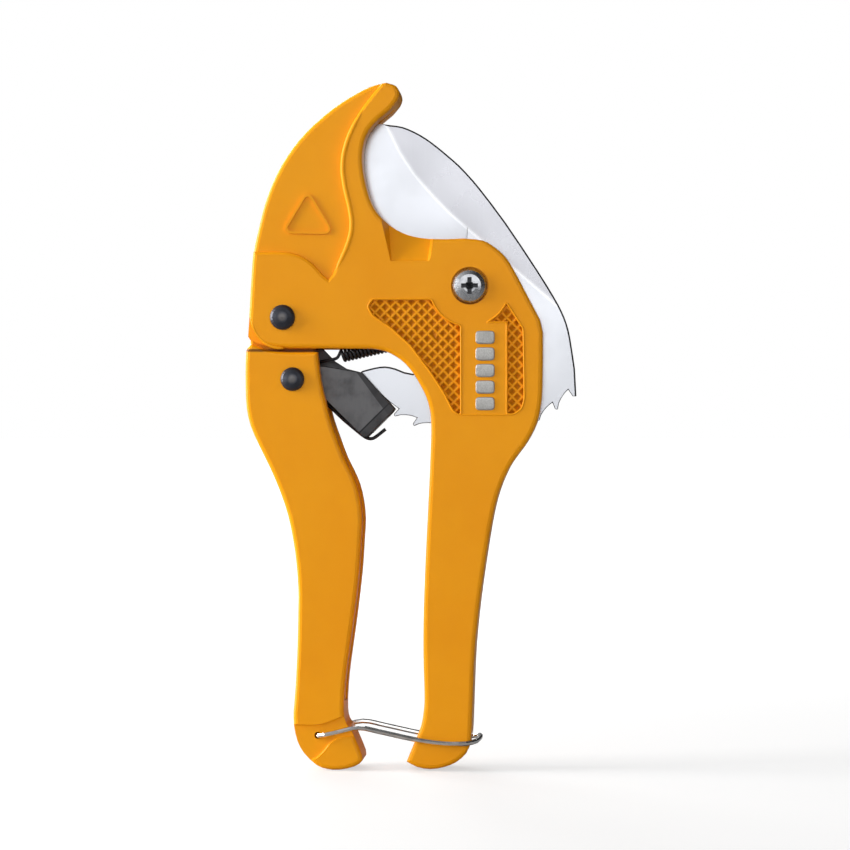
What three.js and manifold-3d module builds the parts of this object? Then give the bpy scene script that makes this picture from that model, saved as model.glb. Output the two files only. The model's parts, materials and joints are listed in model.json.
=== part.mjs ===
// Ratcheting cutter for plastic pipe: a hooked body, a swinging blade with ratchet teeth,
// a moving handle that carries the pawl, and a wire bail that holds the handles shut.
// Millimetres. X runs to the right, Z up, and Y from the front face to the rear face.
// Everything is drawn about the blade pivot, and the whole group is moved at the end so that
// the origin lies on the flat rear side of the fixed handle.
import * as THREE from 'three';
import { ConvexGeometry } from 'three/addons/geometries/ConvexGeometry.js';
import { mergeVertices } from 'three/addons/utils/BufferGeometryUtils.js';
import Module from 'manifold-3d';

const wasm = await Module();
wasm.setup();

// ---------------------------------------------------------------- driving dimensions
const GAP = 0.25;               // clearance between pieces that touch on the real tool
const BODY_HALF = 8.5;          // half the thickness of the body and of both handles
const EDGE_ROUND = 1.2;         // rounding of the cast edges
const POCKET_DEPTH = 1.2;       // how far the back of the hook lies below the cheek
const KNURL_DEPTH = 0.7;        // depth of the knurled field
const KNURL_PITCH = 2.95;       // spacing of the knurl, across and down
const PIT_DEPTH = 0.6;          // depth of one pit of the knurl
const RIDGE = 0.22;             // land left between two pits, corner to corner

const GRIP_TOP = -45;           // height where the two grips begin
const GRIP_LENGTH = 90;         // from there to the feet
const FOOT = GRIP_TOP - GRIP_LENGTH;

const BLADE_THICK = 1.8;
const SLOT_PLAY = 0.35;         // play on each side of the blade in its slot
const GRIND_REACH = 20;         // length of the rays of the ground face
const GRIND_FROM = 5;           // first ray, degrees from straight down towards -X
const GRIND_FAN = 90;           // turn from the first ray to the last
const TOOTH_COUNT = 10;
const TOOTH_PITCH = 8.23;       // degrees
const TOOTH_FIRST = -31.1;      // steep face of the first tooth, degrees from straight down
const TOOTH_TIP = 42.3;         // radius of the tips about the blade pivot
const TOOTH_DEPTH = 2.5;
const TOOTH_ROOM = 1.9;         // free room outside the tips

const SCREW_R = 2.5;            // blade screw
const SCREW_HEAD_R = 4.8;
const SCREW_BOSS_R = 11.2;      // plain round boss about the screw, inside the knurl
const SCREW_HEAD_H = 2.5;
const RECESS_REACH = 2.35;      // cross recess of the head: length of an arm from the middle
const RECESS_ARM = 0.6;         // half the width of an arm
const RECESS_DEPTH = 2.0;
const SCREW_SINK = 1.1;         // depth of the counterbore that the head sits in
const BUSH_WALL = 1.0;          // bush between screw and blade
const NUT_FLATS = 8;
const NUT_H = 3.6;
const WASHER_T = 0.5;           // thin friction washers
const WASHER_R = 6.5;           // the two beside the blade
const SPRING_WASHER_T = 0.9;    // washer under the nut

const HINGE = { x: -52.4, z: -8.7 };        // handle rivet
const RIVET_R = 2.4;
const RIVET_HEAD_R = 3.55;
const RIVET_HEAD_H = 1.7;
const RIVET_WASHER_T = 0.8;     // washers under the closed ends of both rivets
const HINGE_WASHER_R = 6.4;     // the two beside the tongue
const TONGUE_HALF = 4.9;        // half the thickness of the handle's tongue
const TONGUE_R = 8.2;           // radius of the tongue about the rivet
const HINGE_CORNER_R = 9.1;     // round corner of the cheek about the rivet
const HINGE_INNER_R = 11.2;     // the same corner below the outer layer
const HINGE_LAYER = 1.6;        // thickness of that outer layer

const PAWL_PIN = { x: -49.6, z: -26 };      // pawl rivet
const PAWL_RIVET_R = 1.9;
const PAWL_HEAD_R = 3.35;
const PAWL_HALF = 3.8;          // half the width of the pawl
const PAWL_SHEET = 1.1;         // its sheet steel
const PAWL_EYE_R = 4.3;         // end of its side walls round the pin
const SLEEVE_WALL = 0.8;        // sleeve on the pawl rivet, between the walls
const PAWL_SPRING_WIRE = 0.5;   // radius of the torsion spring's wire
const PAWL_SPRING_AIR = 0.12;   // air between its turns

const SPRING_COIL_R = 2.0;      // return spring, outside
const SPRING_WIRE = 0.45;       // radius of its wire
const SPRING_EYE = { x: -0.7, z: -11.4 };   // hole for it in the blade
const SPRING_COIL_START = 13.8; // from the pawl pin, along the spring
const SPRING_COIL_LENGTH = 27.4;

const BAIL_WIRE = 0.7;          // radius of the latch wire
const BAIL_HOLE = { x: -42.6, z: FOOT + 9.3 };
const BAIL_SPREAD = 0.45;       // air between the wire and the faces of the handles
const BAIL_REACH = 45;          // from the hole to the far end of the loop
const BAIL_END_IN = 3.2;        // how deep each end of the wire sits in its hole

const NOTCH_STEP = 0.5;         // depth of the mouth's notch at its lower end
const NOTCH_DEPTH = 5.4;        // and where it runs out past the rim
const NOTCH_TOP = 20;           // height to which its slopes are carried

const MOUNT = { x: 7, z: -38.7 };           // on the flat rear side, at the top of the fixed handle

// ---------------------------------------------------------------- sizes that follow
const BLADE_HALF = BLADE_THICK / 2;
const GRIND_DEPTH = BLADE_HALF - 0.12;      // depth at the far end of a ray
const SLOT_HALF = BLADE_HALF + SLOT_PLAY;
const CHAMBER_HALF = TONGUE_HALF + WASHER_T + 2 * GAP;
const CHANNEL_HALF = PAWL_HALF + 0.3;
const TOOTH_ROOT = TOOTH_TIP - TOOTH_DEPTH;
const SWEEP_R = TOOTH_TIP + TOOTH_ROOM;
const BUSH_INNER = SCREW_R + GAP;
const BUSH_OUTER = BUSH_INNER + BUSH_WALL;
const BLADE_BORE = BUSH_OUTER + GAP;
const SPRING_Y = -(BLADE_HALF + GAP + SPRING_COIL_R);
const PAWL_INNER = PAWL_HALF - PAWL_SHEET;
const SLEEVE_R = PAWL_RIVET_R + GAP + SLEEVE_WALL;
// The torsion spring and the return spring's hook share the width inside the pawl. The torsion spring
// takes a half turn and as many whole turns as the rest of that width holds.
const PAWL_SPRING_PITCH = 2 * PAWL_SPRING_WIRE + PAWL_SPRING_AIR;
const PAWL_SPRING_ROOM = 2 * (PAWL_INNER - GAP - SPRING_WIRE - PAWL_SPRING_WIRE) - 0.2;
const PAWL_SPRING_TURNS = 0.5 + Math.floor(PAWL_SPRING_ROOM / PAWL_SPRING_PITCH - 0.49);
const BAIL_Y = BODY_HALF + BAIL_SPREAD + BAIL_WIRE;
const HEAD_SEAT = -BODY_HALF + SCREW_SINK;
const NUT_SEAT = BODY_HALF - NUT_H - SPRING_WASHER_T;
const DEG = Math.PI / 180;

// ---------------------------------------------------------------- outlines
const P = (x, z) => new THREE.Vector2(x, z);

/** A point of a grip: x, and how far down the grip it lies, 0 at its top and 1 at its foot. */
const grip = (x, share) => P(x, GRIP_TOP - share * GRIP_LENGTH);

/** A point of a foot: x, and its height above the lowest point. */
const foot = (x, height) => P(x, FOOT + height);

/** A smooth curve through the points, each stretch in the given number of steps. */
function smooth(points, steps) {
  return new THREE.SplineCurve(points).getPoints(steps * (points.length - 1));
}

/** An arc about (cx, cz); angles in degrees from +X towards +Z. */
function arc(cx, cz, radius, from, to, steps) {
  const points = [];
  for (let i = 0; i <= steps; i += 1) {
    const a = (from + ((to - from) * i) / steps) * DEG;
    points.push(P(cx + radius * Math.cos(a), cz + radius * Math.sin(a)));
  }
  return points;
}

/** Joins stretches of points into one closed outline and drops points that coincide. */
function outline(...stretches) {
  const points = [];
  for (const p of stretches.flat()) {
    if (points.length === 0 || points.at(-1).distanceTo(p) > 0.02) points.push(p);
  }
  if (points[0].distanceTo(points.at(-1)) < 0.02) points.pop();
  return points;
}

const circle = (cx, cz, radius, steps = 32) => outline(arc(cx, cz, radius, 0, 360, steps));

const rectangle = (x0, z0, x1, z1) => [P(x0, z0), P(x1, z0), P(x1, z1), P(x0, z1)];

/** A point at a radius about the blade pivot; its angle runs from straight down towards +X. */
function polar(radius, fromDown) {
  return P(radius * Math.sin(fromDown * DEG), -radius * Math.cos(fromDown * DEG));
}

// ---------------------------------------------------------------- solids
/** A closed solid for joining and cutting, from a three.js geometry. */
function solid(geometry) {
  const merged = mergeVertices(bareCopy(geometry), 1e-4);
  const corners = merged.index.array;
  const kept = [];
  for (let i = 0; i < corners.length; i += 3) {
    const [a, b, c] = [corners[i], corners[i + 1], corners[i + 2]];
    if (a !== b && b !== c && c !== a) kept.push(a, b, c);
  }
  return new wasm.Manifold(new wasm.Mesh({
    numProp: 3,
    vertProperties: new Float32Array(merged.attributes.position.array),
    triVerts: new Uint32Array(kept),
  }));
}

/** The geometry with its positions only. */
function bareCopy(geometry) {
  const bare = geometry.clone();
  bare.deleteAttribute('normal');
  bare.deleteAttribute('uv');
  return bare;
}

/** An outline in the XZ plane carried from yFront to yRear, its edges rounded by round. */
function prism(points, yFront, yRear, round = 0, roundSteps = 3) {
  const geometry = new THREE.ExtrudeGeometry(new THREE.Shape(points), {
    depth: yRear - yFront - 2 * round,
    bevelEnabled: round > 0,
    bevelThickness: round,
    bevelSize: round,
    bevelOffset: -round,
    bevelSegments: roundSteps,
  });
  geometry.rotateX(Math.PI / 2);
  geometry.translate(0, yRear - round, 0);
  return solid(geometry);
}

/** A turned piece about an axis along Y through (x, z); profile points are (radius, y). */
function turned(x, z, profile, steps = 32) {
  const points = profile.map(([radius, y]) => P(radius, y));
  const geometry = new THREE.LatheGeometry(points, steps);
  geometry.translate(x, 0, z);
  return solid(geometry);
}

/** A round bar along Y. */
const bar = (x, z, radius, yFront, yRear, steps = 32) =>
  turned(x, z, [[0, yFront], [radius, yFront], [radius, yRear], [0, yRear]], steps);

/** A flat ring along Y. */
const ring = (x, z, inner, outer, yFront, yRear, steps = 20) =>
  turned(x, z, [[inner, yFront], [outer, yFront], [outer, yRear], [inner, yRear], [inner, yFront]], steps);

/** A round wire along a curve. */
function wire(curve, radius, steps, sides = 8) {
  const section = new THREE.Shape(circle(0, 0, radius, sides));
  return solid(new THREE.ExtrudeGeometry(section, { steps, extrudePath: curve, bevelEnabled: false }));
}

/** The same cut on the front and on the rear. */
const onBothSides = (make) => make(-1).add(make(1));

/** Runs from depth inner to depth outer on the given side of the middle plane. */
const layer = (points, side, inner, outer, round = 0) =>
  (side < 0 ? prism(points, -outer, -inner, round) : prism(points, inner, outer, round));

// ---------------------------------------------------------------- body
const MOUTH = [
  P(-1.9, 13.3), P(-7, 13.1), P(-11.6, 13.3), P(-15.6, 13.9), P(-19, 15), P(-22.1, 16.8), P(-25.4, 19.8),
  P(-27.5, 23.2), P(-28.7, 26.7), P(-29.5, 30.1), P(-30, 33.5), P(-30.1, 36.8), P(-29.6, 40.3),
  P(-28.3, 43.5), P(-25.3, 46.8), P(-22.4, 49.2), P(-20.4, 51.6),
];

function bodyOutline() {
  const hookTip = smooth([P(-20.4, 51.6), P(-19.7, 53.6), P(-20.6, 55.9), P(-23.4, 56.9)], 3);
  const hookBack = smooth([
    P(-23.4, 56.9), P(-26.9, 56.3), P(-31.5, 54.2), P(-38.5, 49.8), P(-46.1, 43.1), P(-51.4, 36.4),
    P(-55.1, 29.7), P(-57.6, 23), P(-59.3, 16.3), P(-60.7, 9.6), P(-61.4, 0), P(-61.8, -7), P(-62.3, -14.8),
  ], 3);
  const underside = smooth([P(-62.3, -14.8), P(-58.6, -16.2), P(-54.5, -17.1), P(-50, -17.35)], 2);
  const fingerGap = smooth([
    P(-28.4, -17.5), P(-23.7, -18.2), P(-19.2, -20.7), P(-16.1, -24), P(-14, -27.4), P(-12.2, -31),
    P(-11.1, -35), P(-10.8, -39.5), P(-10.9, -44.5), grip(-11.4, 0.13), grip(-12.3, 0.33),
    grip(-12.9, 0.5), grip(-13, 0.64), grip(-12.7, 0.76), foot(-12.8, 17.2), foot(-13.6, 12.2),
    foot(-15.3, 8),
  ], 3);
  const sole = smooth([
    foot(-17.7, 2.1), foot(-14.8, 0.6), foot(-11.1, 0), foot(-7.2, 0.6), foot(-3.8, 2), foot(-1, 4.5),
    foot(0.2, 7.6), foot(0.6, 12),
  ], 2);
  const outside = smooth([
    foot(0.6, 12), grip(0.9, 0.77), grip(1.5, 0.622), grip(2.9, 0.473), grip(4.8, 0.324),
    grip(6.5, 0.213), grip(8.3, 0.135), P(11, -50.8), P(13.4, -47.2), P(16, -43.6), P(18.6, -38.4),
    P(19.9, -32.7), P(20.3, -25), P(20.4, -13),
  ], 3);
  const shoulder = [P(19.6, -9.4), P(12.6, 3.9)];
  const brow = smooth([P(12.6, 3.9), P(10.2, 7.8), P(7.1, 10.7), P(3.6, 12.7), P(-1.9, 13.3)], 3);
  return outline(hookTip, hookBack, underside, fingerGap, sole, outside, shoulder, brow, smooth(MOUTH, 2));
}

/** The cheek and the band along the mouth, which stand higher than the back of the hook. */
function raisedOutline() {
  const crest = smooth([
    P(-26.5, 54.5), P(-30.1, 49.9), P(-32.9, 45.2), P(-34.9, 40.8), P(-36, 36.6), P(-36.3, 32.4),
    P(-35.4, 26.8), P(-34.3, 22.6), P(-33.6, 18.5), P(-33.7, 15.1), P(-34.8, 11.4), P(-36.6, 7.4),
    P(-38.4, 3.4),
  ], 2);
  const sweep = smooth([
    P(-39.6, 2), P(-41.3, 3.4), P(-43.8, 6.2), P(-46.9, 8.3), P(-50.3, 9.4), P(-55, 9.7), P(-70, 9.7),
  ], 2);
  return outline([P(-20, 62)], crest, sweep, [P(-70, FOOT - 10), P(40, FOOT - 10), P(40, 62)]);
}

/** The round lower corner of the cheek: everything outside the radius about the rivet. */
function hingeCorner(radius) {
  return outline(arc(HINGE.x, HINGE.z, radius, 180, 270, 12), [
    P(HINGE.x, HINGE.z - 30), P(HINGE.x - 30, HINGE.z - 30), P(HINGE.x - 30, HINGE.z),
  ]);
}

/** Narrow slot that the blade swings in, open to the mouth, the finger gap and the right side. */
function bladeSlot() {
  const below = prism(circle(0, 0, SWEEP_R, 96), -SLOT_HALF, SLOT_HALF)
    .subtract(prism(rectangle(-60, 25, 60, 60), -5, 5));
  const alongMouth = outline(smooth([
    P(-3, 9), P(-15, 9.4), P(-22.5, 12), P(-28.6, 16.6), P(-32.2, 23), P(-33.6, 30), P(-33.6, 37),
    P(-31.6, 43), P(-27.8, 47.6), P(-23.5, 48.6),
  ], 2), [P(-10, 60), P(30, 60), P(30, 0)]);
  return below.add(prism(alongMouth, -SLOT_HALF, SLOT_HALF));
}

/** Room between the cheeks for the handle's tongue. */
function hingeChamber() {
  const radius = TONGUE_R + 1.2;
  const room = outline(arc(HINGE.x, HINGE.z, radius, -20, 140, 16), [
    P(HINGE.x - 3 * radius, HINGE.z + radius * Math.sin(140 * DEG)), P(HINGE.x - 3 * radius, HINGE.z - 40),
    P(HINGE.x + TONGUE_R + 8, HINGE.z - 40), P(HINGE.x + TONGUE_R + 8, HINGE.z - 10),
  ]);
  return prism(room, -CHAMBER_HALF, CHAMBER_HALF);
}

/** Room in the front cheek for the return spring, over the whole swing of the blade. */
function springRoom() {
  const room = outline([
    P(-46, -24), P(-46, -13), P(-14, -1.5), P(-8, -0.5), P(-6.6, -5), P(1.5, -7), P(3.5, -12), P(1, -16),
    P(-16, -20), P(-22, -30),
  ]);
  return prism(room, -CHAMBER_HALF, -SLOT_HALF + 0.01);
}

/** Notch in the rim of the mouth: its floor slopes down towards the mouth between leaning sides. */
function mouthNotch(side) {
  const rim = BODY_HALF + 0.6;
  const corners = [
    [-22.3, rim, 6.7], [-11, rim, 6.7], [-25.3, rim, NOTCH_TOP], [-9.3, rim, NOTCH_TOP],
    [-21.9, BODY_HALF - NOTCH_STEP, 7.1], [-11.8, BODY_HALF - NOTCH_STEP, 7.1],
    [-23.1, BODY_HALF - NOTCH_DEPTH, NOTCH_TOP], [-10.4, BODY_HALF - NOTCH_DEPTH, NOTCH_TOP],
  ];
  return solid(new ConvexGeometry(corners.map(([x, y, z]) => new THREE.Vector3(x, side * y, z))));
}

/** The knurled field round the screw boss and beside the flat panel. */
function knurlField(side, inner, outer, inset = 0) {
  const left = outline([
    P(-27.3 + inset, -3.6 - inset), P(0, -3.6 - inset), P(0, -36 + inset), P(-3.4, -36 + inset),
  ], smooth([P(-4.9, -34.6), P(-7.2, -30), P(-11.1, -24), P(-16.7, -16.6), P(-22, -11.8), P(-27.2, -8.3),
      P(-28.6 + inset, -5.8)], 2));
  const corner = smooth([P(15.3 - inset, -31.5), P(14.6 - inset, -34.2), P(12.4, -35.9 + inset)], 3);
  const right = outline([P(5, -4.6), P(10.3, -4.6), P(15 - inset, -12)], corner, [P(5, -35.9 + inset)]);
  const field = layer(left, side, inner, outer).add(layer(right, side, inner, outer));
  const boss = layer(circle(0, 0, SCREW_BOSS_R + inset, 48), side, inner - 1, outer + 1);
  const panel = layer(rectangle(-2.4 - inset, -60, 10.3 + inset, -10.2 + inset), side, inner - 1, outer + 1);
  return field.subtract(boss).subtract(panel);
}

/** Diamond pits in the floor of the knurled field on the front. */
function knurlPits() {
  const floor = -BODY_HALF + KNURL_DEPTH;
  const step = KNURL_PITCH / 2;
  const height = PIT_DEPTH + 0.2;
  let pits = null;
  for (let i = -20; i <= 11; i += 1) {
    for (let j = -25; j <= -2; j += 1) {
      if ((i + j) % 2 !== 0) continue;
      const pit = new THREE.ConeGeometry((step - RIDGE) * (height / PIT_DEPTH), height, 4);
      pit.translate(i * step, floor + PIT_DEPTH - height / 2, j * step);
      const one = solid(pit);
      pits = pits === null ? one : pits.add(one);
    }
  }
  return pits.intersect(knurlField(-1, BODY_HALF - 3, BODY_HALF + 1, 0.35));
}

/** Plain raised triangular rim on the back of the hook. */
function triangleRim(side) {
  const corners = (grow) => {
    const points = [];
    for (const [cx, cz, from] of [[-45.5, 24.2, 30], [-50.2, 16.4, 150], [-40.6, 16.2, 270]]) {
      points.push(...arc(cx, cz, 1.6 + grow, from, from + 120, 5));
    }
    return outline(points);
  };
  const top = BODY_HALF - POCKET_DEPTH + 0.5;
  return layer(corners(0), side, 3, top).subtract(layer(corners(-0.75), side, 2, top + 1));
}

/** Lightening channel on the inner side of the fixed handle. */
function gripChannel() {
  const points = outline([grip(-30, 0.14)], smooth([
    grip(1.4, 0.14), grip(0.2, 0.24), grip(-1.2, 0.36), grip(-2.6, 0.5), grip(-3.9, 0.64), grip(-4.8, 0.78),
  ], 2), [grip(-5.6, 0.81), grip(-30, 0.81)]);
  return prism(points, -CHANNEL_HALF, CHANNEL_HALF, 1, 2);
}

function makeBody() {
  const whole = bodyOutline();
  const low = prism(whole, -BODY_HALF + POCKET_DEPTH, BODY_HALF - POCKET_DEPTH, EDGE_ROUND);
  const high = prism(whole, -BODY_HALF, BODY_HALF, EDGE_ROUND)
    .intersect(prism(raisedOutline(), -BODY_HALF, BODY_HALF, 0.9, 2));
  let body = low.add(high);
  body = body.add(onBothSides(triangleRim));
  body = body.subtract(onBothSides((side) =>
    layer(hingeCorner(HINGE_CORNER_R), side, BODY_HALF - HINGE_LAYER, BODY_HALF + 1)));
  body = body.subtract(prism(hingeCorner(HINGE_INNER_R), -BODY_HALF, BODY_HALF));
  body = body.subtract(bladeSlot()).subtract(hingeChamber()).subtract(springRoom());
  body = body.subtract(onBothSides(mouthNotch)).subtract(gripChannel());
  body = body.subtract(onBothSides((side) => knurlField(side, BODY_HALF - KNURL_DEPTH, BODY_HALF + 1)));
  body = body.subtract(knurlPits());
  return body.subtract(bladePivotCuts()).subtract(bar(HINGE.x, HINGE.z, RIVET_R + GAP, -20, 20));
}

/** Stepped bore of the blade pivot: head, bush, washers and nut. */
function bladePivotCuts() {
  const head = bar(0, 0, SCREW_HEAD_R + 0.45, -BODY_HALF - 1, HEAD_SEAT);
  const shank = bar(0, 0, SCREW_R + GAP, -20, 20);
  const bushBore = bar(0, 0, BUSH_OUTER + GAP, HEAD_SEAT + 1.8, NUT_SEAT + 0.5);
  const recess = SLOT_HALF + WASHER_T + GAP - 0.1;
  const washers = bar(0, 0, WASHER_R + 0.4, -recess, recess);
  const nut = bar(0, 0, NUT_FLATS / 2 / Math.cos(30 * DEG) + 0.9, NUT_SEAT, BODY_HALF + 1);
  return head.add(shank).add(bushBore).add(washers).add(nut);
}

// ---------------------------------------------------------------- blade
function teeth() {
  const points = [];
  for (let k = 0; k < TOOTH_COUNT - 1; k += 1) {
    const face = TOOTH_FIRST + k * TOOTH_PITCH;
    points.push(polar(TOOTH_ROOT, face + 0.5));
    points.push(polar(TOOTH_TIP - 0.5, face - 0.15));
    points.push(polar(TOOTH_TIP, face + 0.6));
    for (const share of [0.28, 0.46, 0.64, 0.82]) {
      const drop = TOOTH_DEPTH * (1 - (1 - share) ** 2);
      points.push(polar(TOOTH_TIP - drop, face + share * TOOTH_PITCH));
    }
  }
  points.push(polar(TOOTH_ROOT, TOOTH_FIRST + (TOOTH_COUNT - 1) * TOOTH_PITCH + 0.5));
  points.push(polar(TOOTH_TIP - 0.3, TOOTH_FIRST + (TOOTH_COUNT - 1) * TOOTH_PITCH));
  return points;
}

function bladeOutline() {
  const edge = smooth([
    P(-2.6, 11.6), P(-8, 11.1), P(-15, 11.7), P(-21.5, 14), P(-26.8, 18.2), P(-30.3, 24), P(-31.5, 30.4),
    P(-31.7, 36.5), P(-30.9, 41), P(-29.2, 44.3), P(-27.8, 46),
  ], 3);
  const spine = smooth([
    P(-27.8, 46), P(-25.2, 46), P(-22.6, 45.7), P(-19.3, 45.2), P(-15.9, 43.8), P(-12.6, 41.9), P(-9.5, 39.6),
    P(-6.6, 37.2), P(-3.3, 34.3), P(-0.3, 31.1), P(2.6, 27.7), P(9.9, 18), P(18.9, 4.5), P(23.4, -2.8),
    P(25.6, -6.9), P(27, -10.4), P(28, -14.5), P(29.3, -23),
  ], 2);
  const tail = smooth([
    P(-30.7, -23.6), P(-27.3, -22.7), P(-24.2, -22.3), P(-21.2, -22.9), P(-16.3, -24.4), P(-13.4, -21),
    P(-12.6, -12), P(-12.2, -2), P(-9.6, 7.4),
  ], 2);
  const corner = polar(TOOTH_TIP + 0.5, TOOTH_FIRST + (TOOTH_COUNT - 1) * TOOTH_PITCH + 1);
  return outline(edge, spine, [corner], teeth().reverse(), [polar(TOOTH_ROOT - 0.2, TOOTH_FIRST - 4),
    polar(TOOTH_ROOT - 0.4, -45), P(-31.4, -24.4)], tail);
}

/** One ground face of the cutting edge: it falls from the bevel line along rays that fan out past the edge. */
function groundEdge(side) {
  const line = smooth([
    P(-0.8, 17), P(-1.9, 17.4), P(-5.8, 20.8), P(-10.1, 25.2), P(-15.7, 31.6), P(-19.9, 38), P(-24, 46.4),
  ], 2);
  const rows = line.map((p, i) => {
    const turn = (GRIND_FROM + (GRIND_FAN * i) / (line.length - 1)) * DEG;
    const far = P(p.x - GRIND_REACH * Math.sin(turn), p.y - GRIND_REACH * Math.cos(turn));
    const high = BLADE_HALF + 1;
    const corners = [[p, BLADE_HALF], [p, high], [far, BLADE_HALF - GRIND_DEPTH], [far, high]];
    return corners.map(([q, y]) => new THREE.Vector3(q.x, side * y, q.y));
  });
  let wedge = solid(new ConvexGeometry([...rows[0], ...rows[1]]));
  for (let i = 1; i + 1 < rows.length; i += 1) {
    wedge = wedge.add(solid(new ConvexGeometry([...rows[i], ...rows[i + 1]])));
  }
  return wedge;
}

function makeBlade() {
  const blank = prism(bladeOutline(), -BLADE_HALF, BLADE_HALF);
  return blank.subtract(onBothSides(groundEdge))
    .subtract(bar(0, 0, BLADE_BORE, -5, 5))
    .subtract(bar(SPRING_EYE.x, SPRING_EYE.z, SPRING_WIRE + 0.55, -5, 5, 16));
}

function makeBladeScrew() {
  const seat = HEAD_SEAT - GAP;
  const top = seat - SCREW_HEAD_H;
  const body = turned(0, 0, [
    [0, top], [1.8, top + 0.02], [3.2, top + 0.25], [4.3, top + 0.85], [SCREW_HEAD_R, top + 1.6],
    [SCREW_HEAD_R, seat], [SCREW_R, seat], [SCREW_R, BODY_HALF + 0.7], [SCREW_R - 0.4, BODY_HALF + 1.1],
    [0, BODY_HALF + 1.1],
  ]);
  const bottom = top + RECESS_DEPTH;
  const slot = (reach, half) => prism(rectangle(-reach, -half, reach, half), top - 1, bottom);
  const cross = slot(RECESS_REACH, RECESS_ARM).add(slot(RECESS_ARM, RECESS_REACH));
  const middle = turned(0, 0, [[0, top - 1], [1.35, top - 1], [1, bottom], [0, bottom + 0.4]], 16);
  return body.subtract(cross).subtract(middle);
}

function makeBladeNut() {
  const corner = NUT_FLATS / 2 / Math.cos(30 * DEG);
  const yFront = NUT_SEAT + SPRING_WASHER_T + 2 * GAP;
  const hex = prism(circle(0, 0, corner, 6), yFront, yFront + NUT_H);
  const dome = turned(0, 0, [[0, yFront - 1], [corner - 0.4, yFront - 1], [corner - 0.4, yFront],
    [corner + 0.3, yFront + 0.4], [corner + 0.3, yFront + NUT_H - 0.5], [corner - 0.6, yFront + NUT_H],
    [0, yFront + NUT_H]]);
  return hex.intersect(dome).subtract(bar(0, 0, SCREW_R + GAP, 0, 20));
}

const makeNutWasher = () => ring(0, 0, SCREW_R + GAP, 4.6, NUT_SEAT + GAP, NUT_SEAT + GAP + SPRING_WASHER_T);

const makeBladeBush = () => ring(0, 0, BUSH_INNER, BUSH_OUTER, HEAD_SEAT + 1.8 + GAP, NUT_SEAT);

function makeBladeWasher(side) {
  const near = BLADE_HALF + GAP;
  return side < 0
    ? ring(0, 0, BUSH_OUTER + GAP, WASHER_R, -near - WASHER_T, -near)
    : ring(0, 0, BUSH_OUTER + GAP, WASHER_R, near, near + WASHER_T);
}

// ---------------------------------------------------------------- moving handle
function handleOutline() {
  const top = smooth([
    P(-62.7, -18), P(-61.2, -16.2), P(-57.6, -17.6), P(-53.4, -18.3), P(-49, -18.45),
  ], 2);
  const inner = smooth([
    P(-42.7, -18.4), P(-42.3, -22), P(-41.7, -26.7), P(-40.5, -31.8), P(-39.1, -37.3), P(-37.2, -42.7),
    P(-35.2, -48), P(-33.4, -51.6), grip(-31.7, 0.118), grip(-30.6, 0.17), grip(-30.1, 0.227),
    grip(-30.4, 0.29), grip(-30.9, 0.381), grip(-31.8, 0.474), grip(-32.9, 0.568), grip(-34.2, 0.67),
    grip(-35, 0.751), foot(-35.2, 15.8), foot(-34.6, 12.8), foot(-32.9, 10.4), foot(-30.6, 5),
  ], 2);
  const sole = smooth([
    foot(-30.6, 5), foot(-30, 2.4), foot(-32.4, 0.6), foot(-36.6, -0.3), foot(-40, -0.1), foot(-43, 1),
    foot(-46.4, 4.2), foot(-48.3, 7.6), foot(-49.3, 12), foot(-49.4, 16),
  ], 2);
  const outer = smooth([
    foot(-49.4, 16), grip(-48.8, 0.74), grip(-48.3, 0.62), grip(-48.1, 0.5), grip(-48.1, 0.44),
    grip(-48.6, 0.36), grip(-49.5, 0.289), grip(-50.9, 0.214), P(-53.1, -57.6), P(-55.9, -51),
    P(-59.3, -44.1), P(-61.5, -39), P(-62.6, -34), P(-62.9, -28), P(-62.9, -22), P(-62.7, -18),
  ], 2);
  return outline(top, inner, sole, outer);
}

/** Channel that holds the pawl and runs down the inner side of the grip. */
function handleChannel() {
  const points = outline([P(-20, -13.6), P(-46.7, -13.6), P(-46.7, -20.6)], smooth([
    P(-53.6, -21), P(-56.2, -22.4), P(-57.6, -26), P(-57.6, -31), P(-56.4, -36), P(-53.8, -41.4),
    P(-51, -46.8), P(-48.4, -52.2), grip(-46.2, 0.15), grip(-44.6, 0.25), grip(-43.6, 0.36),
    grip(-43.2, 0.5), grip(-43.6, 0.64), grip(-44, 0.74),
  ], 2), [grip(-42.6, 0.79), grip(-20, 0.8)]);
  return prism(points, -CHANNEL_HALF, CHANNEL_HALF);
}

/** Solid tongue between the cheeks, joined to the handle below the round corner. */
function tongue() {
  const points = outline(arc(HINGE.x, HINGE.z, TONGUE_R, -8, 188, 20), [
    P(-61.8, -14.4), P(-61.8, -22), P(-60, -27), P(-57.2, -27), P(-55, -21.6), P(-43.6, -21.6), P(-43.4, -14),
  ]);
  return prism(points, -TONGUE_HALF, TONGUE_HALF, 0.6, 2);
}

/** Shallow scoop in the foot, round the end of the latch wire. */
function footScoop(side) {
  const points = outline(smooth([
    foot(-50.5, 12.6), foot(-46.4, 12.4), foot(-42, 12.5), foot(-38.6, 13.6), foot(-36, 14.7),
    foot(-33.8, 15.4),
  ], 2), [foot(-28, 16), foot(-28, 9)], smooth([
    foot(-31, 8.8), foot(-35.4, 8.9), foot(-38.4, 7.6), foot(-40.6, 5), foot(-43, 2.8), foot(-47, 1),
  ], 2), [foot(-52, 4)]);
  return layer(points, side, BODY_HALF - 0.9, BODY_HALF + 2, 0.6);
}

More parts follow.
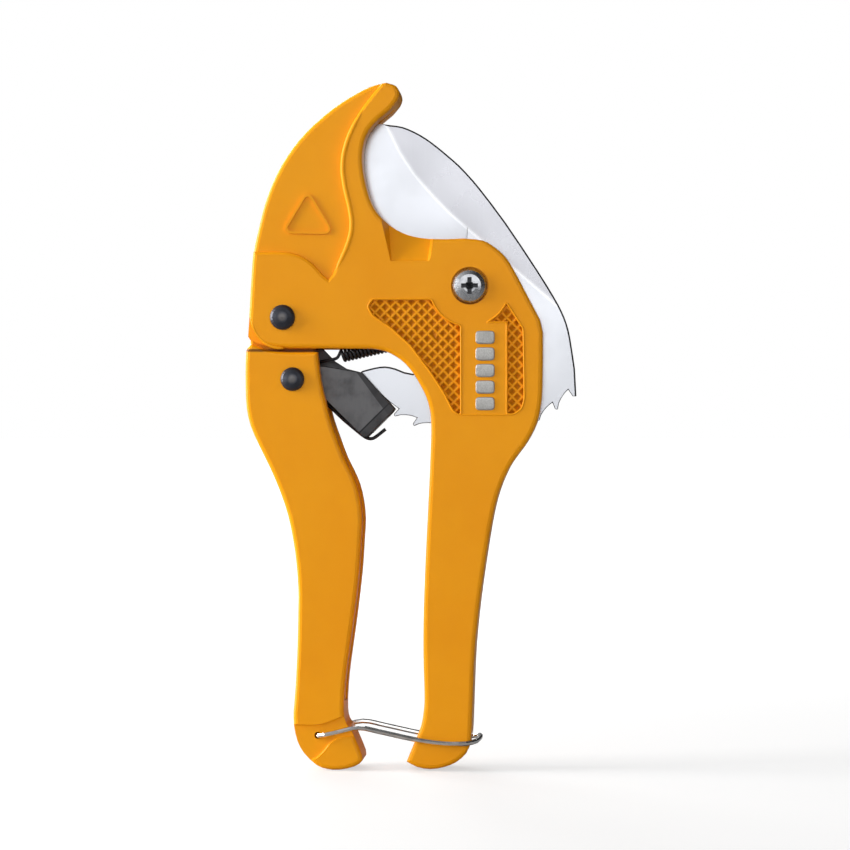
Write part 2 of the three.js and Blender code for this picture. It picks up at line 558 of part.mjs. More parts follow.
function makeHandle() {
  const whole = handleOutline();
  let handle = prism(whole, -BODY_HALF, BODY_HALF, EDGE_ROUND);
  // Behind the outer lip the handle stays clear of the cheek's deeper corner.
  handle = handle.subtract(prism(circle(HINGE.x, HINGE.z, HINGE_INNER_R + 0.5, 48),
    -BODY_HALF + HINGE_LAYER - GAP, BODY_HALF - HINGE_LAYER + GAP));
  handle = handle.subtract(prism(circle(HINGE.x, HINGE.z, HINGE_CORNER_R + 0.35, 48), -20, 20));
  handle = handle.add(tongue()).subtract(handleChannel());
  return handle.subtract(onBothSides(footScoop))
    .subtract(bar(HINGE.x, HINGE.z, RIVET_R + GAP, -20, 20))
    .subtract(bar(PAWL_PIN.x, PAWL_PIN.z, PAWL_RIVET_R + GAP, -20, 20))
    .subtract(bar(BAIL_HOLE.x, BAIL_HOLE.z, BAIL_WIRE + 0.25, -20, 20, 16));
}

/** Dome-headed rivet through the whole thickness, closed over a washer on the rear. */
function makeRivet(at, radius, headRadius) {
  const front = -BODY_HALF - GAP;
  const rear = BODY_HALF + 2 * GAP + RIVET_WASHER_T;
  return turned(at.x, at.z, [
    [0, front - RIVET_HEAD_H], [headRadius * 0.45, front - RIVET_HEAD_H * 0.93],
    [headRadius * 0.78, front - RIVET_HEAD_H * 0.66], [headRadius * 0.96, front - RIVET_HEAD_H * 0.3],
    [headRadius, front], [radius, front], [radius, rear], [radius * 1.35, rear + 0.1],
    [radius * 1.25, rear + 0.8], [radius * 0.7, rear + 1.2], [0, rear + 1.3],
  ], 24);
}

const makeRivetWasher = (at, radius) =>
  ring(at.x, at.z, radius + GAP, radius + 2.1, BODY_HALF + GAP, BODY_HALF + GAP + RIVET_WASHER_T);

function makeHingeWasher(side) {
  const near = TONGUE_HALF + GAP;
  return side < 0
    ? ring(HINGE.x, HINGE.z, RIVET_R + GAP, HINGE_WASHER_R, -near - WASHER_T, -near)
    : ring(HINGE.x, HINGE.z, RIVET_R + GAP, HINGE_WASHER_R, near, near + WASHER_T);
}

// ---------------------------------------------------------------- pawl
const PAWL_NOSE = [P(-21.3, -34.3), P(-22.1, -35.4)];
const PAWL_HEEL = [P(-29, -42.2), P(-30.2, -42.2)];

function pawlWall(side) {
  const eye = arc(PAWL_PIN.x, PAWL_PIN.z, PAWL_EYE_R, 100, 250, 10);
  const upper = side < 0
    ? [P(-30.4, -24.1), P(-40.9, -22.3)]
    : [P(-30.4, -24.1), P(-35.3, -22.9), P(-38.6, -20.8), P(-42.6, -16.6), P(-44.2, -17.4), P(-45, -20.6)];
  const points = outline(upper, eye, [P(-40.6, -31.9)], [...PAWL_HEEL].reverse(), [...PAWL_NOSE].reverse());
  return layer(points, side, PAWL_INNER, PAWL_HALF);
}

/** The end web that joins the walls and pushes the teeth; it starts just outside their tips. */
function pawlWeb() {
  const thick = PAWL_SHEET;
  const along = P(-Math.SQRT1_2, -Math.SQRT1_2);
  const inward = P(-Math.SQRT1_2, Math.SQRT1_2);
  const start = P(-23.1, -36.4);
  const end = start.clone().addScaledVector(along, 6.4);
  const points = [start, end, end.clone().addScaledVector(inward, thick),
    start.clone().addScaledVector(along, 0.9).addScaledVector(inward, thick)];
  return prism(points, -PAWL_HALF, PAWL_HALF);
}

function makePawl() {
  const bore = bar(PAWL_PIN.x, PAWL_PIN.z, PAWL_RIVET_R + GAP, -20, 20);
  return onBothSides(pawlWall).add(pawlWeb()).subtract(bore);
}

const makePawlSleeve = () => ring(PAWL_PIN.x, PAWL_PIN.z, PAWL_RIVET_R + GAP, SLEEVE_R,
  -PAWL_INNER + GAP, PAWL_INNER - GAP);

/** Torsion spring: a rear-side coil round the sleeve, one leg on the handle, one hooked round the web. */
function makePawlSpring() {
  const radius = SLEEVE_R + GAP + PAWL_SPRING_WIRE;
  const legY = PAWL_INNER - GAP - PAWL_SPRING_WIRE;
  const turn = 360 * PAWL_SPRING_TURNS;
  const points = [new THREE.Vector3(-56.6, legY - PAWL_SPRING_PITCH * PAWL_SPRING_TURNS, -33)];
  for (let a = 0; a <= turn; a += 30) {
    const angle = (235 - a) * DEG;
    points.push(new THREE.Vector3(PAWL_PIN.x + radius * Math.cos(angle),
      legY - PAWL_SPRING_PITCH * (PAWL_SPRING_TURNS - a / 360), PAWL_PIN.z + radius * Math.sin(angle)));
  }
  const hooked = [
    [-41, -32.6], [-36, -37.4], [-31.4, -41.2], [-29.6, -42.6], [-28, -43], [-26.2, -41.6], [-24.2, -40],
  ];
  points.push(...hooked.map(([x, z]) => new THREE.Vector3(x, legY, z)));
  return wire(new THREE.CatmullRomCurve3(points, false, 'centripetal'), PAWL_SPRING_WIRE, 72, 6);
}

// ---------------------------------------------------------------- return spring
/** Tension spring between the pawl pin and the blade; the coil is drawn as its outer shape. */
function makeReturnSpring() {
  const start = new THREE.Vector3(PAWL_PIN.x, SPRING_Y, PAWL_PIN.z + SLEEVE_R + GAP + SPRING_WIRE);
  const end = new THREE.Vector3(SPRING_EYE.x, SPRING_Y, SPRING_EYE.z);
  const along = end.clone().sub(start).normalize();
  const at = (distance, y = SPRING_Y) => start.clone().addScaledVector(along, distance).setY(y);
  const hookY = -(PAWL_INNER - GAP - SPRING_WIRE);
  const hook = [
    at(-2.4, hookY), at(0, hookY), at(8, hookY), at(SPRING_COIL_START - 1), at(SPRING_COIL_START + 1),
  ];
  const far = SPRING_COIL_START + SPRING_COIL_LENGTH;
  const reach = start.distanceTo(end);
  const eye = [at(far - 1), at(far + 1), at(reach - 1.2), at(reach - 0.2, SPRING_Y + 0.5),
    at(reach, -BLADE_HALF + 0.2), at(reach, BLADE_HALF + 0.05)];
  const coil = new THREE.CylinderGeometry(SPRING_COIL_R, SPRING_COIL_R, SPRING_COIL_LENGTH, 16);
  coil.applyQuaternion(new THREE.Quaternion().setFromUnitVectors(new THREE.Vector3(0, 1, 0), along));
  const middle = at(SPRING_COIL_START + SPRING_COIL_LENGTH / 2);
  coil.translate(middle.x, middle.y, middle.z);
  return solid(coil).add(wire(new THREE.CatmullRomCurve3(hook), SPRING_WIRE, 8))
    .add(wire(new THREE.CatmullRomCurve3(eye), SPRING_WIRE, 16));
}

// ---------------------------------------------------------------- latch bail
function makeBail() {
  const h = BAIL_HOLE;
  const front = [
    [0, -BODY_HALF + BAIL_END_IN, 0], [0, -BODY_HALF + 0.6, 0], [1.2, -BAIL_Y, 0.15], [6, -BAIL_Y, 1.2],
    [11.6, -BAIL_Y, 2.4], [18, -BAIL_Y, 1.2], [28, -BAIL_Y, -0.9], [36.3, -BAIL_Y, -1.9],
    [BAIL_REACH - 3.4, -BAIL_Y, -1.8], [BAIL_REACH - 0.9, -BAIL_Y + 1.4, -1.4],
    [BAIL_REACH, -BAIL_Y + 4.4, -1],
  ].map(([x, y, z]) => new THREE.Vector3(h.x + x, y, h.z + z));
  const rear = [...front].reverse().map((p) => new THREE.Vector3(p.x, -p.y, p.z));
  return wire(new THREE.CatmullRomCurve3([...front, ...rear], false, 'centripetal'), BAIL_WIRE, 60);
}

// ---------------------------------------------------------------- assembly
const ORANGE = { color: 0xe8960f, roughness: 0.42, metalness: 0.05 };
const STEEL = { color: 0xd7d9de, roughness: 0.28, metalness: 1 };
const ZINC = { color: 0xb9bbbd, roughness: 0.35, metalness: 1 };
const BLACK = { color: 0x2b2d33, roughness: 0.4, metalness: 0.7 };
const DARK = { color: 0x55565a, roughness: 0.5, metalness: 0.8 };

const tool = new THREE.Group();
tool.position.set(-MOUNT.x, -BODY_HALF, -MOUNT.z);

function addPart(name, shape, look) {
  const mesh = shape.getMesh();
  const geometry = new THREE.BufferGeometry();
  geometry.setAttribute('position', new THREE.BufferAttribute(new Float32Array(mesh.vertProperties), 3));
  geometry.setIndex(new THREE.BufferAttribute(new Uint32Array(mesh.triVerts), 1));
  geometry.computeVertexNormals();
  const part = new THREE.Mesh(geometry, new THREE.MeshStandardMaterial(look));
  part.name = name;
  tool.add(part);
}

addPart('body', makeBody(), ORANGE);
addPart('moving_handle', makeHandle(), ORANGE);
addPart('blade', makeBlade(), STEEL);
addPart('blade_screw', makeBladeScrew(), ZINC);
addPart('blade_nut', makeBladeNut(), ZINC);
addPart('nut_washer', makeNutWasher(), ZINC);
addPart('blade_bush', makeBladeBush(), ZINC);
addPart('blade_washer_front', makeBladeWasher(-1), ZINC);
addPart('blade_washer_rear', makeBladeWasher(1), ZINC);
addPart('handle_rivet', makeRivet(HINGE, RIVET_R, RIVET_HEAD_R), BLACK);
addPart('handle_rivet_washer', makeRivetWasher(HINGE, RIVET_R), ZINC);
addPart('hinge_washer_front', makeHingeWasher(-1), ZINC);
addPart('hinge_washer_rear', makeHingeWasher(1), ZINC);
addPart('pawl', makePawl(), DARK);
addPart('pawl_rivet', makeRivet(PAWL_PIN, PAWL_RIVET_R, PAWL_HEAD_R), BLACK);
addPart('pawl_rivet_washer', makeRivetWasher(PAWL_PIN, PAWL_RIVET_R), ZINC);
addPart('pawl_sleeve', makePawlSleeve(), ZINC);
addPart('pawl_spring', makePawlSpring(), BLACK);
addPart('return_spring', makeReturnSpring(), BLACK);
addPart('latch_bail', makeBail(), ZINC);

export default tool;
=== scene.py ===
"""Looks for the ratcheting plastic pipe cutter: finishes, wound springs, beads and rims, light and camera."""

import json
import math

import bmesh
import bpy
import numpy as np
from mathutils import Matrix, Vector


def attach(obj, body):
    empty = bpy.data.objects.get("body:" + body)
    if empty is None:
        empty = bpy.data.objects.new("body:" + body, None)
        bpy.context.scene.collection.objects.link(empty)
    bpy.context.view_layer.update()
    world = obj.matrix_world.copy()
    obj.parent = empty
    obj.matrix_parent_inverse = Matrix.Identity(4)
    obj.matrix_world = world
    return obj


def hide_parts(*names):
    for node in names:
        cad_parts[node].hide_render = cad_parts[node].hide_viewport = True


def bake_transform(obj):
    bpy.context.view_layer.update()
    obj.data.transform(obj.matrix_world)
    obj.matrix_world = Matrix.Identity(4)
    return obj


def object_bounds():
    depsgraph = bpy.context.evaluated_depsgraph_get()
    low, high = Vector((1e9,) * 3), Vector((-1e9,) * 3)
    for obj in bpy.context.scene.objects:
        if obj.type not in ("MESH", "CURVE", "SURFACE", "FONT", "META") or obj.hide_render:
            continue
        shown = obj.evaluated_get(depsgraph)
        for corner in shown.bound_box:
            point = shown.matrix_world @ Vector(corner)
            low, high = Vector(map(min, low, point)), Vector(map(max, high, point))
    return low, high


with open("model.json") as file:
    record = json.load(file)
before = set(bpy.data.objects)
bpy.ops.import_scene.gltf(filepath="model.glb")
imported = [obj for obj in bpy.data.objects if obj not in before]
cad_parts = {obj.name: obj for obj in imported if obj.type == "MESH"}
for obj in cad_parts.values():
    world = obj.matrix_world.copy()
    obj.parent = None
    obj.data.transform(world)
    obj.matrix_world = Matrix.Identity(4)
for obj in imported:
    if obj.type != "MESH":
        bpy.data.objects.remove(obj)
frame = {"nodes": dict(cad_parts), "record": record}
cad_low, cad_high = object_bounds()
nodes = frame["nodes"]
scene = bpy.context.scene
MM = 0.001

# ---------------------------------------------------------------- drawing frame
# Pieces are laid out in millimetres about the blade screw: X right, Z up, Y to the rear of the middle plane.
SCREW_X = -7.0
SCREW_Z = 38.7
MIDDLE_Y = -8.5
HALF_BODY = 8.5
HALF_BLADE = 0.9
FACE_SLACK = 0.02
HINGE = (-52.4, -8.7)
PAWL_PIN = (-49.6, -26.0)


def placed(points):
    """Points in the drawing frame, in millimetres, turned into the part's frame in metres."""
    return (np.asarray(points, float) + np.array([SCREW_X, MIDDLE_Y, SCREW_Z])) * MM


# ---------------------------------------------------------------- camera
CAMERA_AIM = (-12.93, 0.0, -38.83)
CAMERA_STEP = (44.5, -848.8, 0.0)
FOCAL_LENGTH = 127.7
SENSOR_WIDTH = 36.0


def place_camera():
    """Level camera in front of the tool and a little to its right."""
    data = bpy.data.cameras.new("studio_camera")
    data.lens = FOCAL_LENGTH
    data.sensor_width = SENSOR_WIDTH
    data.clip_end = 20.0
    camera = bpy.data.objects.new("studio_camera", data)
    scene.collection.objects.link(camera)
    aim = Vector(placed(CAMERA_AIM))
    camera.location = aim + Vector(CAMERA_STEP) * MM
    camera.rotation_euler = (aim - camera.location).to_track_quat("-Z", "Y").to_euler()
    scene.camera = camera


place_camera()

# ---------------------------------------------------------------- node groups
FLOAT = "NodeSocketFloat"
VECTOR = "NodeSocketVector"


class Sheet:
    """A node tree with short ways to add nodes and join them."""

    def __init__(self, tree):
        self.tree = tree

    def node(self, kind, **settings):
        """Adds one node and sets its own properties."""
        made = self.tree.nodes.new(kind)
        for name, value in settings.items():
            setattr(made, name, value)
        return made

    def join(self, source, target):
        """Joins an output socket to an input socket."""
        self.tree.links.new(source, target)

    def fill(self, socket, value):
        """Joins a socket, or sets a plain value."""
        if isinstance(value, bpy.types.NodeSocket):
            self.join(value, socket)
        else:
            socket.default_value = value

    def math(self, operation, *values, clamp=False):
        """A Math node over sockets and numbers."""
        made = self.node("ShaderNodeMath", operation=operation, use_clamp=clamp)
        for socket, value in zip(made.inputs, values):
            self.fill(socket, value)
        return made.outputs[0]

    def span(self, value, low, high, start=0.0, end=1.0):
        """A Map Range node that turns low..high smoothly into start..end."""
        made = self.node("ShaderNodeMapRange", interpolation_type="SMOOTHSTEP")
        for socket, entry in zip(made.inputs, (value, low, high, start, end)):
            self.fill(socket, entry)
        return made.outputs[0]

    def within(self, value, low, high, soft):
        """One between low and high, falling to zero over a soft distance on either side."""
        rise = self.span(value, low - soft, low)
        return self.math("MULTIPLY", rise, self.span(value, high, high + soft, 1.0, 0.0))

    def mix(self, share, first, second, blend="MIX"):
        """A colour mix: first at share 0, second at share 1."""
        made = self.node("ShaderNodeMix", data_type="RGBA", blend_type=blend)
        self.fill(made.inputs[0], share)
        self.fill(made.inputs[6], first)
        self.fill(made.inputs[7], second)
        return made.outputs[2]

    def noise(self, vector, scale, detail=2.0, roughness=0.5):
        """Noise with the given number of cells to a metre."""
        made = self.node("ShaderNodeTexNoise")
        self.fill(made.inputs["Vector"], vector)
        self.fill(made.inputs["Scale"], scale)
        self.fill(made.inputs["Detail"], detail)
        self.fill(made.inputs["Roughness"], roughness)
        return made.outputs["Fac"]

    def stretch(self, vector, scale, turn=(0.0, 0.0, 0.0), place=(0.0, 0.0, 0.0)):
        """A Mapping node."""
        made = self.node("ShaderNodeMapping")
        self.fill(made.inputs["Vector"], vector)
        made.inputs["Location"].default_value = place
        made.inputs["Rotation"].default_value = turn
        made.inputs["Scale"].default_value = scale
        return made.outputs[0]

    def bump(self, height, distance, strength=1.0, normal=None):
        """A Bump node over a height, in metres."""
        made = self.node("ShaderNodeBump")
        made.inputs["Strength"].default_value = strength
        made.inputs["Distance"].default_value = distance
        self.fill(made.inputs["Height"], height)
        if normal is not None:
            self.join(normal, made.inputs["Normal"])
        return made.outputs[0]

    def place_group(self, group, **values):
        """Places a node group and fills its named inputs; a space in a name is written as an underscore."""
        made = self.node("ShaderNodeGroup", node_tree=group)
        for name, value in values.items():
            self.fill(made.inputs[name.replace("_", " ")], value)
        return made


def new_group(name, inputs, outputs):
    """An empty node group with named inputs and outputs; returns its sheet, input node and output node."""
    tree = bpy.data.node_groups.new(name, "ShaderNodeTree")
    for label, kind, value in inputs:
        socket = tree.interface.new_socket(name=label, in_out="INPUT", socket_type=kind)
        if value is not None:
            socket.default_value = value
    for label, kind in outputs:
        tree.interface.new_socket(name=label, in_out="OUTPUT", socket_type=kind)
    sheet = Sheet(tree)
    return sheet, sheet.node("NodeGroupInput"), sheet.node("NodeGroupOutput")


def brushed_group():
    """Long fine scratches: noise stretched along one direction, as a mask and a height."""
    sheet, given, result = new_group(
        "brushed_grain",
        [("Vector", VECTOR, None), ("Fineness", FLOAT, 9000.0)],
        [("Lines", FLOAT), ("Height", FLOAT)],
    )
    fine = sheet.noise(given.outputs["Vector"], given.outputs["Fineness"], 3.0, 0.6)
    half = sheet.math("MULTIPLY", given.outputs["Fineness"], 0.31)
    broad = sheet.noise(given.outputs["Vector"], half, 2.0)
    both = sheet.math("ADD", sheet.math("MULTIPLY", fine, 0.62), sheet.math("MULTIPLY", broad, 0.38))
    sheet.join(sheet.span(both, 0.36, 0.66), result.inputs["Lines"])
    sheet.join(both, result.inputs["Height"])
    return sheet.tree


def handling_group():
    """Faint smudges and dust: two sizes of noise, cut to soft patches."""
    sheet, given, result = new_group(
        "handling_marks",
        [("Vector", VECTOR, None), ("Size", FLOAT, 60.0)],
        [("Smudge", FLOAT), ("Specks", FLOAT)],
    )
    patches = sheet.noise(given.outputs["Vector"], given.outputs["Size"], 4.0, 0.55)
    sheet.join(sheet.span(patches, 0.42, 0.72), result.inputs["Smudge"])
    finer = sheet.math("MULTIPLY", given.outputs["Size"], 42.0)
    specks = sheet.noise(given.outputs["Vector"], finer, 1.0)
    sheet.join(sheet.span(specks, 0.70, 0.78), result.inputs["Specks"])
    return sheet.tree


BRUSHED = brushed_group()
HANDLING = handling_group()


def new_material(name, metallic, coat=0.0, coat_roughness=0.1, ior=1.5):
    """A material with one Principled shader: the material, its sheet, the shader and Object coordinates."""
    material = bpy.data.materials.new(name)
    material.use_nodes = True
    sheet = Sheet(material.node_tree)
    shader = material.node_tree.nodes["Principled BSDF"]
    shader.inputs["Metallic"].default_value = metallic
    shader.inputs["Coat Weight"].default_value = coat
    shader.inputs["Coat Roughness"].default_value = coat_roughness
    shader.inputs["IOR"].default_value = ior
    place = sheet.node("ShaderNodeTexCoord").outputs["Object"]
    return material, sheet, shader, place


# ---------------------------------------------------------------- finishes
ORANGE = (0.930, 0.346, 0.002, 1.0)
ORANGE_DEEP = (0.820, 0.262, 0.001, 1.0)
ORANGE_LIGHT = (0.950, 0.372, 0.003, 1.0)
# Colours of the painted shade in the knurl's pits and in the gap of the joint.
PIT_SHADE_TONE = (0.42, 0.105, 0.001, 1.0)
JOINT_GAP_SHADE = (0.09, 0.026, 0.001, 1.0)
# The knurled field, the pits in it and the joint over the moving handle, in the shared frame: where the
# painted shade falls.
KNURL_ACROSS = (-0.0356, 0.0086)
KNURL_UP = (0.0025, 0.0353)
PIT_DEPTHS = (-0.0161, -0.0155)
PIT_SOFT = 0.0002
JOINT_ACROSS = (-0.0715, -0.0500)
JOINT_UP = (0.0206, 0.0209)
JOINT_SOFT = 0.0005
JOINT_END_SOFT = 0.001


def powder_coat():
    """Orange powder coat over a casting: fine orange peel, faint tone drift, specks and handling marks.

    Painted shade darkens the bottoms of the knurl's pits and the gap of the joint over the moving handle."""
    material, sheet, shader, place = new_material("orange_powder_coat", 0.0, coat=0.05, coat_roughness=0.2)
    shader.inputs["Specular IOR Level"].default_value = 0.14
    marks = sheet.place_group(HANDLING, Vector=place, Size=55.0)
    drift = sheet.noise(place, 38.0, 3.0)
    tone = sheet.mix(sheet.span(drift, 0.3, 0.7), ORANGE, ORANGE_LIGHT)
    faded = sheet.math("MULTIPLY", marks.outputs["Smudge"], 0.10)
    tone = sheet.mix(faded, tone, ORANGE_DEEP)
    apart = sheet.node("ShaderNodeSeparateXYZ")
    sheet.join(place, apart.inputs[0])
    inside = sheet.within(apart.outputs["X"], *KNURL_ACROSS, PIT_SOFT)
    inside = sheet.math("MULTIPLY", inside, sheet.within(apart.outputs["Z"], *KNURL_UP, PIT_SOFT))
    # Painted shade at the bottoms of the knurl's pits.
    pit_shade = sheet.math("MULTIPLY", inside, sheet.within(apart.outputs["Y"], *PIT_DEPTHS, PIT_SOFT))
    tone = sheet.mix(sheet.math("MULTIPLY", pit_shade, 0.75), tone, PIT_SHADE_TONE)
    # Painted shade in the gap of the joint over the moving handle, on both pieces.
    joint = sheet.within(apart.outputs["Z"], *JOINT_UP, JOINT_SOFT)
    joint = sheet.math("MULTIPLY", joint, sheet.within(apart.outputs["X"], *JOINT_ACROSS, JOINT_END_SOFT))
    tone = sheet.mix(sheet.math("MULTIPLY", joint, 0.85), tone, JOINT_GAP_SHADE)
    dust = sheet.math("MULTIPLY", marks.outputs["Specks"], 0.22)
    sheet.join(sheet.mix(dust, tone, ORANGE_DEEP), shader.inputs["Base Color"])
    rough = sheet.math("ADD", 0.36, sheet.math("MULTIPLY", marks.outputs["Smudge"], 0.10))
    sheet.join(rough, shader.inputs["Roughness"])
    peel = sheet.noise(place, 1500.0, 2.0, 0.45)
    broad = sheet.noise(place, 210.0, 1.0)
    waves = sheet.bump(broad, 0.00012, 0.35)
    sheet.join(sheet.bump(peel, 0.00003, 0.55, waves), shader.inputs["Normal"])
    return material


# Where the ground bevel ends and the flat of the blade begins, from the tip down.
BEVEL_LINE = ((-24.0, 46.4), (-19.9, 38.0), (-15.7, 31.6), (-10.1, 25.2), (-5.8, 20.8), (-1.4, 17.0))


def beside_line(sheet, place, start, end):
    """Millimetres from the line from start to end: above zero on the line's left, below zero on its right.

    It is the dot product of the place and a normal of the line, less that of the start and the normal."""
    run = np.array(end) - np.array(start)
    run = run / np.linalg.norm(run)
    origin = placed([start[0], 0.0, start[1]])
    product = sheet.node("ShaderNodeVectorMath", operation="DOT_PRODUCT")
    sheet.join(place, product.inputs[0])
    slope = np.array([-run[1], 0.0, run[0]]) / MM
    product.inputs[1].default_value = slope
    return sheet.math("SUBTRACT", product.outputs["Value"], float(slope @ origin))


def round_axis(sheet, place, centre):
    """Distance in millimetres from an axis along Y through a point (x, z)."""
    origin = placed([centre[0], 0.0, centre[1]])
    flat = sheet.stretch(place, (1.0, 0.0, 1.0), place=(-origin[0], 0.0, -origin[2]))
    length = sheet.node("ShaderNodeVectorMath", operation="LENGTH")
    sheet.join(flat, length.inputs[0])
    return sheet.math("DIVIDE", length.outputs["Value"], MM)


def ground_blade_steel():
    """Satin ground steel: fine lines across the flat, and a brighter, smoother ground bevel along the edge.

    A thin painted highlight runs along the crest where the bevel meets the flat."""
    material, sheet, shader, place = new_material("ground_blade_steel", 1.0)
    lines = sheet.stretch(place, (1.0, 1.0, 0.03), turn=(0.0, math.radians(-52.0), 0.0))
    grain = sheet.place_group(BRUSHED, Vector=lines, Fineness=5200.0)
    marks = sheet.place_group(HANDLING, Vector=place, Size=40.0)
    inside = beside_line(sheet, place, BEVEL_LINE[0], BEVEL_LINE[1])
    for start, end in zip(BEVEL_LINE[1:], BEVEL_LINE[2:]):
        inside = sheet.math("MINIMUM", inside, beside_line(sheet, place, start, end))
    flat = sheet.span(inside, -0.12, 0.22)
    # Painted highlight: a thin pale line along the crest where the bevel meets the flat.
    crest = sheet.math("SUBTRACT", 1.0, sheet.span(sheet.math("ABSOLUTE", inside), 0.15, 0.75), clamp=True)
    tone = sheet.mix(flat, (0.65, 0.667, 0.71, 1.0), (0.545, 0.55, 0.59, 1.0))
    tone = sheet.mix(sheet.math("MULTIPLY", crest, 0.35), tone, (0.95, 0.96, 0.98, 1.0))
    streak = sheet.math("MULTIPLY", grain.outputs["Lines"], 0.16)
    tone = sheet.mix(streak, tone, (0.60, 0.62, 0.66, 1.0))
    cloud = sheet.math("MULTIPLY", marks.outputs["Smudge"], 0.07)
    sheet.join(sheet.mix(cloud, tone, (0.52, 0.54, 0.58, 1.0)), shader.inputs["Base Color"])
    rough = sheet.math("ADD", 0.20, sheet.math("MULTIPLY", flat, 0.06))
    sheet.join(sheet.math("ADD", rough, cloud), shader.inputs["Roughness"])
    sheet.join(sheet.bump(grain.outputs["Height"], 0.000004, 0.2), shader.inputs["Normal"])
    return material


# The shade in the screw's cross recess: its reach from the axis in mm, where it deepens and where it ends.
RECESS_REACH = (2.35, 2.6)
RECESS_DEPTHS = (-0.01845, -0.0178)
RECESS_FLOOR = (-0.0162, -0.0158)


def plated_steel():
    """Bright zinc plate: fine turning marks, small cloudy patches, and painted shade in the screw's cross
    recess.
    """
    material, sheet, shader, place = new_material("zinc_plated_steel", 1.0)
    marks = sheet.place_group(HANDLING, Vector=place, Size=330.0)
    grain = sheet.place_group(BRUSHED, Vector=sheet.stretch(place, (1.0, 0.2, 1.0)), Fineness=3800.0)
    tone = sheet.mix(marks.outputs["Smudge"], (0.46, 0.47, 0.49, 1.0), (0.32, 0.33, 0.36, 1.0))
    # Painted shade: the cross recess is darkened near the axis, between the depths given above.
    near_middle = sheet.span(round_axis(sheet, place, (0.0, 0.0)), *RECESS_REACH, 1.0, 0.0)
    depth = sheet.node("ShaderNodeSeparateXYZ")
    sheet.join(place, depth.inputs[0])
    sunk = sheet.span(depth.outputs["Y"], *RECESS_DEPTHS)
    front = sheet.span(depth.outputs["Y"], *RECESS_FLOOR, 1.0, 0.0)
    recess = sheet.math("MULTIPLY", sheet.math("MULTIPLY", near_middle, sunk), front)
    tone = sheet.mix(recess, tone, (0.035, 0.036, 0.040, 1.0))
    sheet.join(sheet.mix(marks.outputs["Specks"], tone, (0.34, 0.34, 0.36, 1.0)), shader.inputs["Base Color"])
    rough = sheet.math("ADD", 0.20, sheet.math("MULTIPLY", grain.outputs["Lines"], 0.13))
    sheet.join(rough, shader.inputs["Roughness"])
    sheet.join(sheet.bump(grain.outputs["Height"], 0.000008, 0.4), shader.inputs["Normal"])
    return material


# How far from a rivet's axis the painted highlight on its crown fades, in mm, and how much paler the crown
# is.
CROWN_REACH = (0.5, 1.5)
CROWN_SHARE = 0.65


def blackened_steel():
    """Blue-black oxide on rivet domes: dark, softly shiny, with a painted highlight on the crowns."""
    material, sheet, shader, place = new_material("blackened_steel", 0.55, coat=0.12, coat_roughness=0.25)
    marks = sheet.place_group(HANDLING, Vector=place, Size=260.0)
    tone = sheet.mix(marks.outputs["Smudge"], (0.026, 0.029, 0.040, 1.0), (0.052, 0.057, 0.074, 1.0))
    # Painted highlight: each rivet's crown is made paler near its axis.
    from_axis = sheet.math("MINIMUM", round_axis(sheet, place, HINGE), round_axis(sheet, place, PAWL_PIN))
    crown = sheet.span(from_axis, *CROWN_REACH, CROWN_SHARE, 0.0)
    tone = sheet.mix(crown, tone, (0.16, 0.15, 0.145, 1.0))
    tone = sheet.mix(marks.outputs["Specks"], tone, (0.11, 0.115, 0.13, 1.0))
    sheet.join(tone, shader.inputs["Base Color"])
    rough = sheet.math("ADD", 0.34, sheet.math("MULTIPLY", marks.outputs["Smudge"], 0.12))
    sheet.join(rough, shader.inputs["Roughness"])
    grain = sheet.noise(place, 2600.0, 2.0)
    sheet.join(sheet.bump(grain, 0.00001, 0.5), shader.inputs["Normal"])
    return material


# Corners of the pawl's side, and distances in mm of its bands of painted shade from the lines between them.
PAWL_NOSE = (-22.1, -35.4)
PAWL_HEEL = (-29.0, -42.2)
PAWL_SHOULDER = (-30.4, -24.1)
WEB_BAND = (2.2, 2.5)
WEB_GROOVE = 2.4
SIDE_BAND = (1.1, 1.4)


def phosphated_sheet():
    """Dark grey phosphated sheet steel: matt, mottled, with faint rolling lines along the pawl.

    Painted shade darkens two bands and a thin groove line: one band beside the folded web, and one along the
    edge from the shoulder to the nose."""
    material, sheet, shader, place = new_material("phosphated_sheet", 0.75)
    marks = sheet.place_group(HANDLING, Vector=place, Size=190.0)
    lines = sheet.stretch(place, (1.0, 1.0, 0.06), turn=(0.0, math.radians(-55.0), 0.0))
    grain = sheet.place_group(BRUSHED, Vector=lines, Fineness=2600.0)
    tone = sheet.mix(marks.outputs["Smudge"], (0.138, 0.138, 0.143, 1.0), (0.098, 0.098, 0.104, 1.0))
    tone = sheet.mix(sheet.math("MULTIPLY", grain.outputs["Lines"], 0.3), tone, (0.16, 0.16, 0.165, 1.0))
    from_web = beside_line(sheet, place, PAWL_HEEL, PAWL_NOSE)
    from_bend = sheet.math("MULTIPLY", beside_line(sheet, place, PAWL_SHOULDER, PAWL_NOSE), -1.0)
    # Painted shade: a band beside the folded web, a thin groove line and a band along the edge from the
    # shoulder to the nose.
    web_shade = sheet.span(from_web, *WEB_BAND, 0.62, 0.0)
    from_groove = sheet.math("ABSOLUTE", sheet.math("SUBTRACT", from_web, WEB_GROOVE))
    groove_shade = sheet.math("SUBTRACT", 1.0, sheet.span(from_groove, 0.1, 0.35), clamp=True)
    side = sheet.span(from_bend, *SIDE_BAND, 0.75, 0.0)
    shade = sheet.math("MAXIMUM", sheet.math("MAXIMUM", web_shade, side), groove_shade)
    tone = sheet.mix(shade, tone, (0.022, 0.022, 0.024, 1.0))
    tone = sheet.mix(marks.outputs["Specks"], tone, (0.03, 0.03, 0.033, 1.0))
    sheet.join(tone, shader.inputs["Base Color"])
    rough = sheet.math("ADD", 0.44, sheet.math("MULTIPLY", marks.outputs["Smudge"], 0.14))
    sheet.join(rough, shader.inputs["Roughness"])
    sheet.join(sheet.bump(grain.outputs["Height"], 0.00001, 0.5), shader.inputs["Normal"])
    return material


